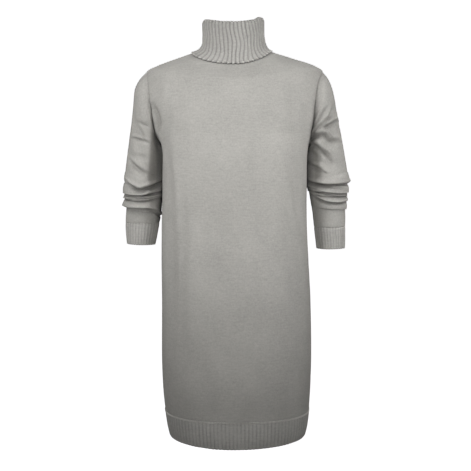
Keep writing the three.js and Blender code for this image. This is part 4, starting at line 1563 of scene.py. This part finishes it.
    def shell(self) -> Shell:
        """Builds the roll neck's wall.

        Returns:
            The wall.
        """
        count = self.ribs * self.columns_per_rib
        angle = 2 * math.pi * np.arange(count) / count
        points, normals = self.rows(angle)
        rise = np.ones(points.shape[:2])
        low, over = self.EDGE_RISE
        shares = self.flap_shares()
        rise[: len(shares)] = (low + (1 - low) * np.clip(shares / over, 0, 1))[:, None]
        rise[-1] = 0
        rib = (np.arange(count) / self.columns_per_rib)[None]
        return Shell(points, normals, is_tube=True, turned=True, rib=rib, rise=rise, free_rows=(0,))

    def edge_seam(self) -> "Seam":
        """Returns the linking stitches that finish the free edge, one to each rib.

        Returns:
            The seam.
        """
        count = self.ribs * self.EDGE_STEPS
        angle = self.drifted(2 * math.pi * np.arange(count + 1) / count, 0)
        points, outward = self.foot(angle, self.BEAD_LEVEL)
        girth = lengths(points[None], 1)[0, -1]
        return Seam("linking_roll_neck_edge", points, outward, pitch=girth / self.ribs, depth=self.BEAD_DEPTH,
                    strand_length=self.BEAD_LENGTH, strand_width=self.BEAD_WIDTH, lean=self.BEAD_LEAN,
                    has_painted_highlight=True)

    def build(self, wardrobe: Wardrobe) -> Object:
        """Makes the roll neck's object.

        Args:
            wardrobe: the shared finishes and trees.

        Returns:
            The object.
        """
        piece = self.shell().object("roll_neck_ribbing")
        self.rib_form.raise_on(piece, wardrobe)
        return piece

    def dress(self, piece: Object) -> None:
        """Gives the roll neck its place in the frame.

        Args:
            piece: the roll neck's object.
        """
        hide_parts("collar")
        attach(piece, BODY)


@dataclass
class Seam:
    """A row of linking stitches along a seam.

    Attributes:
        name: the object's name.
        points, outward: places along the seam and the directions out of the cloth.
        pitch: from one stitch to the next.
        depth: how far the stitches lie under the cloth's face.
        has_painted_highlight: whether they finish an edge, in yarn painted paler as a highlight.
    """

    name: str
    points: Array
    outward: Array
    pitch: float = 3.0
    depth: float = 0.95
    strand_length: float = 3.0
    strand_width: float = 1.15
    lean: float = math.radians(24)
    has_painted_highlight: bool = False

    # The hem's stitches lie on the top of the ribbed band, wider and further out.
    HEM_DROP = 1.0
    HEM_DEPTH = -0.3
    HEM_WIDTH = 2.5

    def build(self, wardrobe: Wardrobe) -> Object:
        """Makes the seam's object.

        Args:
            wardrobe: the shared finishes and trees.

        Returns:
            The object.
        """
        far = lengths(self.points[None], 1)[0]
        wanted = np.linspace(0, far[-1], max(2, round(far[-1] / self.pitch)))
        points = np.stack([np.interp(wanted, far, self.points[:, k]) for k in range(3)], 1)
        outward = unit(np.stack([np.interp(wanted, far, self.outward[:, k]) for k in range(3)], 1))
        along = unit(np.gradient(points, axis=0))
        mesh = bpy.data.meshes.new(self.name)
        mesh.from_pydata(((points - outward * self.depth) * MM).tolist(), [], [])
        for key, vectors in (("along", along), ("outward", outward)):
            data = mesh.attributes.new(key, "FLOAT_VECTOR", "POINT").data
            data.foreach_set("vector", vectors.astype(np.float32).ravel())
        piece = put_in_scene(self.name, mesh)
        through_tree(piece, wardrobe.linking, {
            "Strand Length": self.strand_length * MM, "Strand Width": self.strand_width * MM,
            "Lean": self.lean, "Spread": self.strand_width * MM,
            "Material": wardrobe.loops if self.has_painted_highlight else wardrobe.yarn})
        return piece

    def dress(self, piece: Object) -> None:
        """Gives the seam its place in the frame.

        Args:
            piece: the seam's object.
        """
        smooth(piece.data)
        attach(piece, BODY)


RING_POINTS = 181
HEM_POINTS = 721
LINE_POINTS = 120
LINES = {  # where the upright seams start and end
    "side": (1, Torso.UNDERARM_UP - 2),
    "shoulder": (Torso.SHOULDER_TIP_UP + 2, Torso.NECKLINE_UP - 8),
}


def seams() -> list[Seam]:
    """Lists the seams of the dress.

    Returns:
        The seams in order.
    """
    made = []
    turn = np.linspace(0, 2 * math.pi, RING_POINTS)
    for side, hand in ((1, "left"), (-1, "right")):
        _, outward = TORSO.armhole_frame(side, turn)
        made.append(Seam(f"linking_armhole_{hand}", TORSO.armhole(side, turn), outward))
        for name, (low, high) in LINES.items():
            up = np.linspace(low, high, LINE_POINTS)
            here = np.full_like(up, 0.0 if side > 0 else math.pi)
            made.append(Seam(f"linking_{name}_{hand}", TORSO.point(here, up), TORSO.normal(here, up)))
    turn = np.linspace(0, 2 * math.pi, HEM_POINTS)
    hem = np.full_like(turn, Torso.HEM_SEAM_UP - Seam.HEM_DROP)
    made.append(Seam("linking_hem", TORSO.point(turn, hem), TORSO.normal(turn, hem), depth=Seam.HEM_DEPTH,
                     strand_width=Seam.HEM_WIDTH, has_painted_highlight=True))
    return made


@dataclass
class Studio:
    """The camera at the photo's viewing angle, soft light and a plain pale floor.

    Attributes:
        eye, aim: where the camera stands and looks, in metres.
        view_degrees: how wide it sees.
        floor_z: the floor, where the wearer would stand.
        floor_radius, floor_curve, wall_height: the floor's reach, its curve up and the wall's height.
        ambient: the strength of the light from all round.
    """

    eye: tuple[float, float, float] = (0.0, -2.2, -0.23)
    aim: tuple[float, float, float] = (0.0, 0.0, -0.404)
    view_degrees: float = 27.58
    floor_z: float = -1.35
    floor_radius: float = 9.0
    floor_curve: float = 2.0
    wall_height: float = 9.0
    ambient: float = 0.06

    SENSOR = 36.0
    FLOOR_SIDES = 64
    CURVE_STEPS = 12
    CENTRE_RADIUS = 0.02
    # Name, place, aim, size, watts and spread in degrees of each soft box
    LIGHTS = (
        ("high_softbox_right", (-0.9, -0.8, 0.8), (-0.1, 0.0, -0.2), 0.5, 1.8, 80),
        ("high_softbox_left", (0.9, -0.8, 0.8), (0.1, 0.0, -0.2), 0.5, 1.5, 80),
        ("side_softbox_right", (-1.3, -1.0, -0.1), (-0.2, 0.0, -0.25), 0.5, 0.9, 60),
        ("side_softbox_left", (1.3, -1.0, -0.1), (0.2, 0.0, -0.25), 0.5, 1.1, 60),
        ("front_softbox", (0.0, -1.6, -0.1), (0.0, 0.0, -0.2), 0.5, 0.55, 45),
        ("low_softbox", (0.0, -1.9, -0.5), (0.0, 0.0, -0.5), 0.8, 0.95, 90),
        ("back_softbox", (0.1, 1.5, 0.5), (0.0, 0.0, -0.3), 0.9, 6.5, 120),
    )

    def camera(self) -> None:
        """Makes the scene's camera."""
        data = bpy.data.cameras.new("camera")
        data.sensor_width = self.SENSOR
        data.lens = self.SENSOR / 2 / math.tan(math.radians(self.view_degrees) / 2)
        camera = put_in_scene("camera", data)
        camera.location = self.eye
        camera.rotation_euler = (Vector(self.aim) - Vector(self.eye)).to_track_quat("-Z", "Y").to_euler()
        bpy.context.scene.camera = camera

    def light(self, name: str, place: tuple[float, float, float], aim: tuple[float, float, float],
              size: float, watts: float, spread_degrees: float) -> None:
        """Hangs one soft box.

        Args:
            name: the light's name.
            place, aim: where it hangs and where it points, in metres.
            size: its side in metres.
            watts: its power.
            spread_degrees: how widely it shines.
        """
        data = bpy.data.lights.new(name, "AREA")
        data.size, data.energy, data.spread = size, watts, math.radians(spread_degrees)
        lamp = put_in_scene(name, data)
        lamp.location = place
        lamp.rotation_euler = (Vector(aim) - Vector(place)).to_track_quat("-Z", "Y").to_euler()
        lamp.visible_camera = False

    def floor(self) -> None:
        """Lays the pale floor, which curves up into a wall all round and lights nothing."""
        material = bpy.data.materials.new("white_studio_paper")
        material.use_nodes = True
        surface = material.node_tree.nodes["Principled BSDF"]
        surface.inputs["Base Color"].default_value = linear("FFFFFF")
        surface.inputs["Emission Color"].default_value = linear("FFFFFF")
        surface.inputs["Emission Strength"].default_value = 1.0
        turn = np.linspace(0, math.pi / 2, self.CURVE_STEPS)
        radius, curve, sides = self.floor_radius, self.floor_curve, self.FLOOR_SIDES
        bend = zip(radius - curve + curve * np.sin(turn), curve - curve * np.cos(turn))
        profile = [(self.CENTRE_RADIUS, 0.0), *bend, (radius, self.wall_height)]
        turns = [2 * math.pi * k / sides for k in range(sides)]
        points = [(r * math.cos(a), r * math.sin(a), self.floor_z + z) for r, z in profile for a in turns]
        faces = [(row + k, row + (k + 1) % sides, row + sides + (k + 1) % sides, row + sides + k)
                 for row in range(0, sides * (len(profile) - 1), sides) for k in range(sides)]
        faces.append(tuple(range(sides)))
        mesh = bpy.data.meshes.new("floor")
        mesh.from_pydata(points, [], faces)
        mesh.materials.append(material)
        smooth(mesh)
        floor = put_in_scene("floor", mesh)
        floor.visible_diffuse = floor.visible_glossy = False

    def build(self) -> None:
        """Sets up the camera, the lights, the air and the floor."""
        self.camera()
        for row in self.LIGHTS:
            self.light(*row)
        world = bpy.data.worlds.new("air")
        world.use_nodes = True
        world.node_tree.nodes["Background"].inputs["Color"].default_value = linear("F4F4F2")
        world.node_tree.nodes["Background"].inputs["Strength"].default_value = self.ambient
        bpy.context.scene.world = world
        bpy.context.scene.view_settings.view_transform = "Standard"
        self.floor()


def report(*pieces: Object) -> None:
    """Logs each finished piece."""
    for piece in pieces:
        log.info("%s: %d faces", piece.name, len(piece.data.polygons))


def main() -> None:
    """Builds the dress piece by piece, then the studio."""
    logging.basicConfig(level=logging.INFO, format="%(message)s")
    log.info("frame: %d nodes", len(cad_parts))
    wardrobe = Wardrobe()
    for is_front in (True, False):
        panel = Panel(is_front)
        piece = panel.build()
        panel.dress(piece, wardrobe)
        report(piece)
    for is_front in (True, False):
        band = HemBand(is_front)
        piece = band.build(wardrobe)
        band.dress(piece)
        report(piece)
    cut = {"flat_width": 400, "flat_length": 420}
    for sleeve in (
        Sleeve(-1, RIGHT_RINGS, RIGHT_FOLDS, **cut, flat_area=0.115, contact_end=11.2, tuck=1.3),
        Sleeve(1, LEFT_RINGS, LEFT_FOLDS, **cut, flat_area=0.118, contact_end=10.2, tuck=0.7),
    ):
        cloth, cuff = sleeve.build(wardrobe)
        sleeve.dress(cloth, cuff, wardrobe)
        report(cloth, cuff)
    neck = RollNeck()
    piece = neck.build(wardrobe)
    neck.dress(piece)
    report(piece)
    for seam in (*seams(), neck.edge_seam()):
        piece = seam.build(wardrobe)
        seam.dress(piece)
        report(piece)
    Studio().build()


if __name__ == "__main__":
    main()
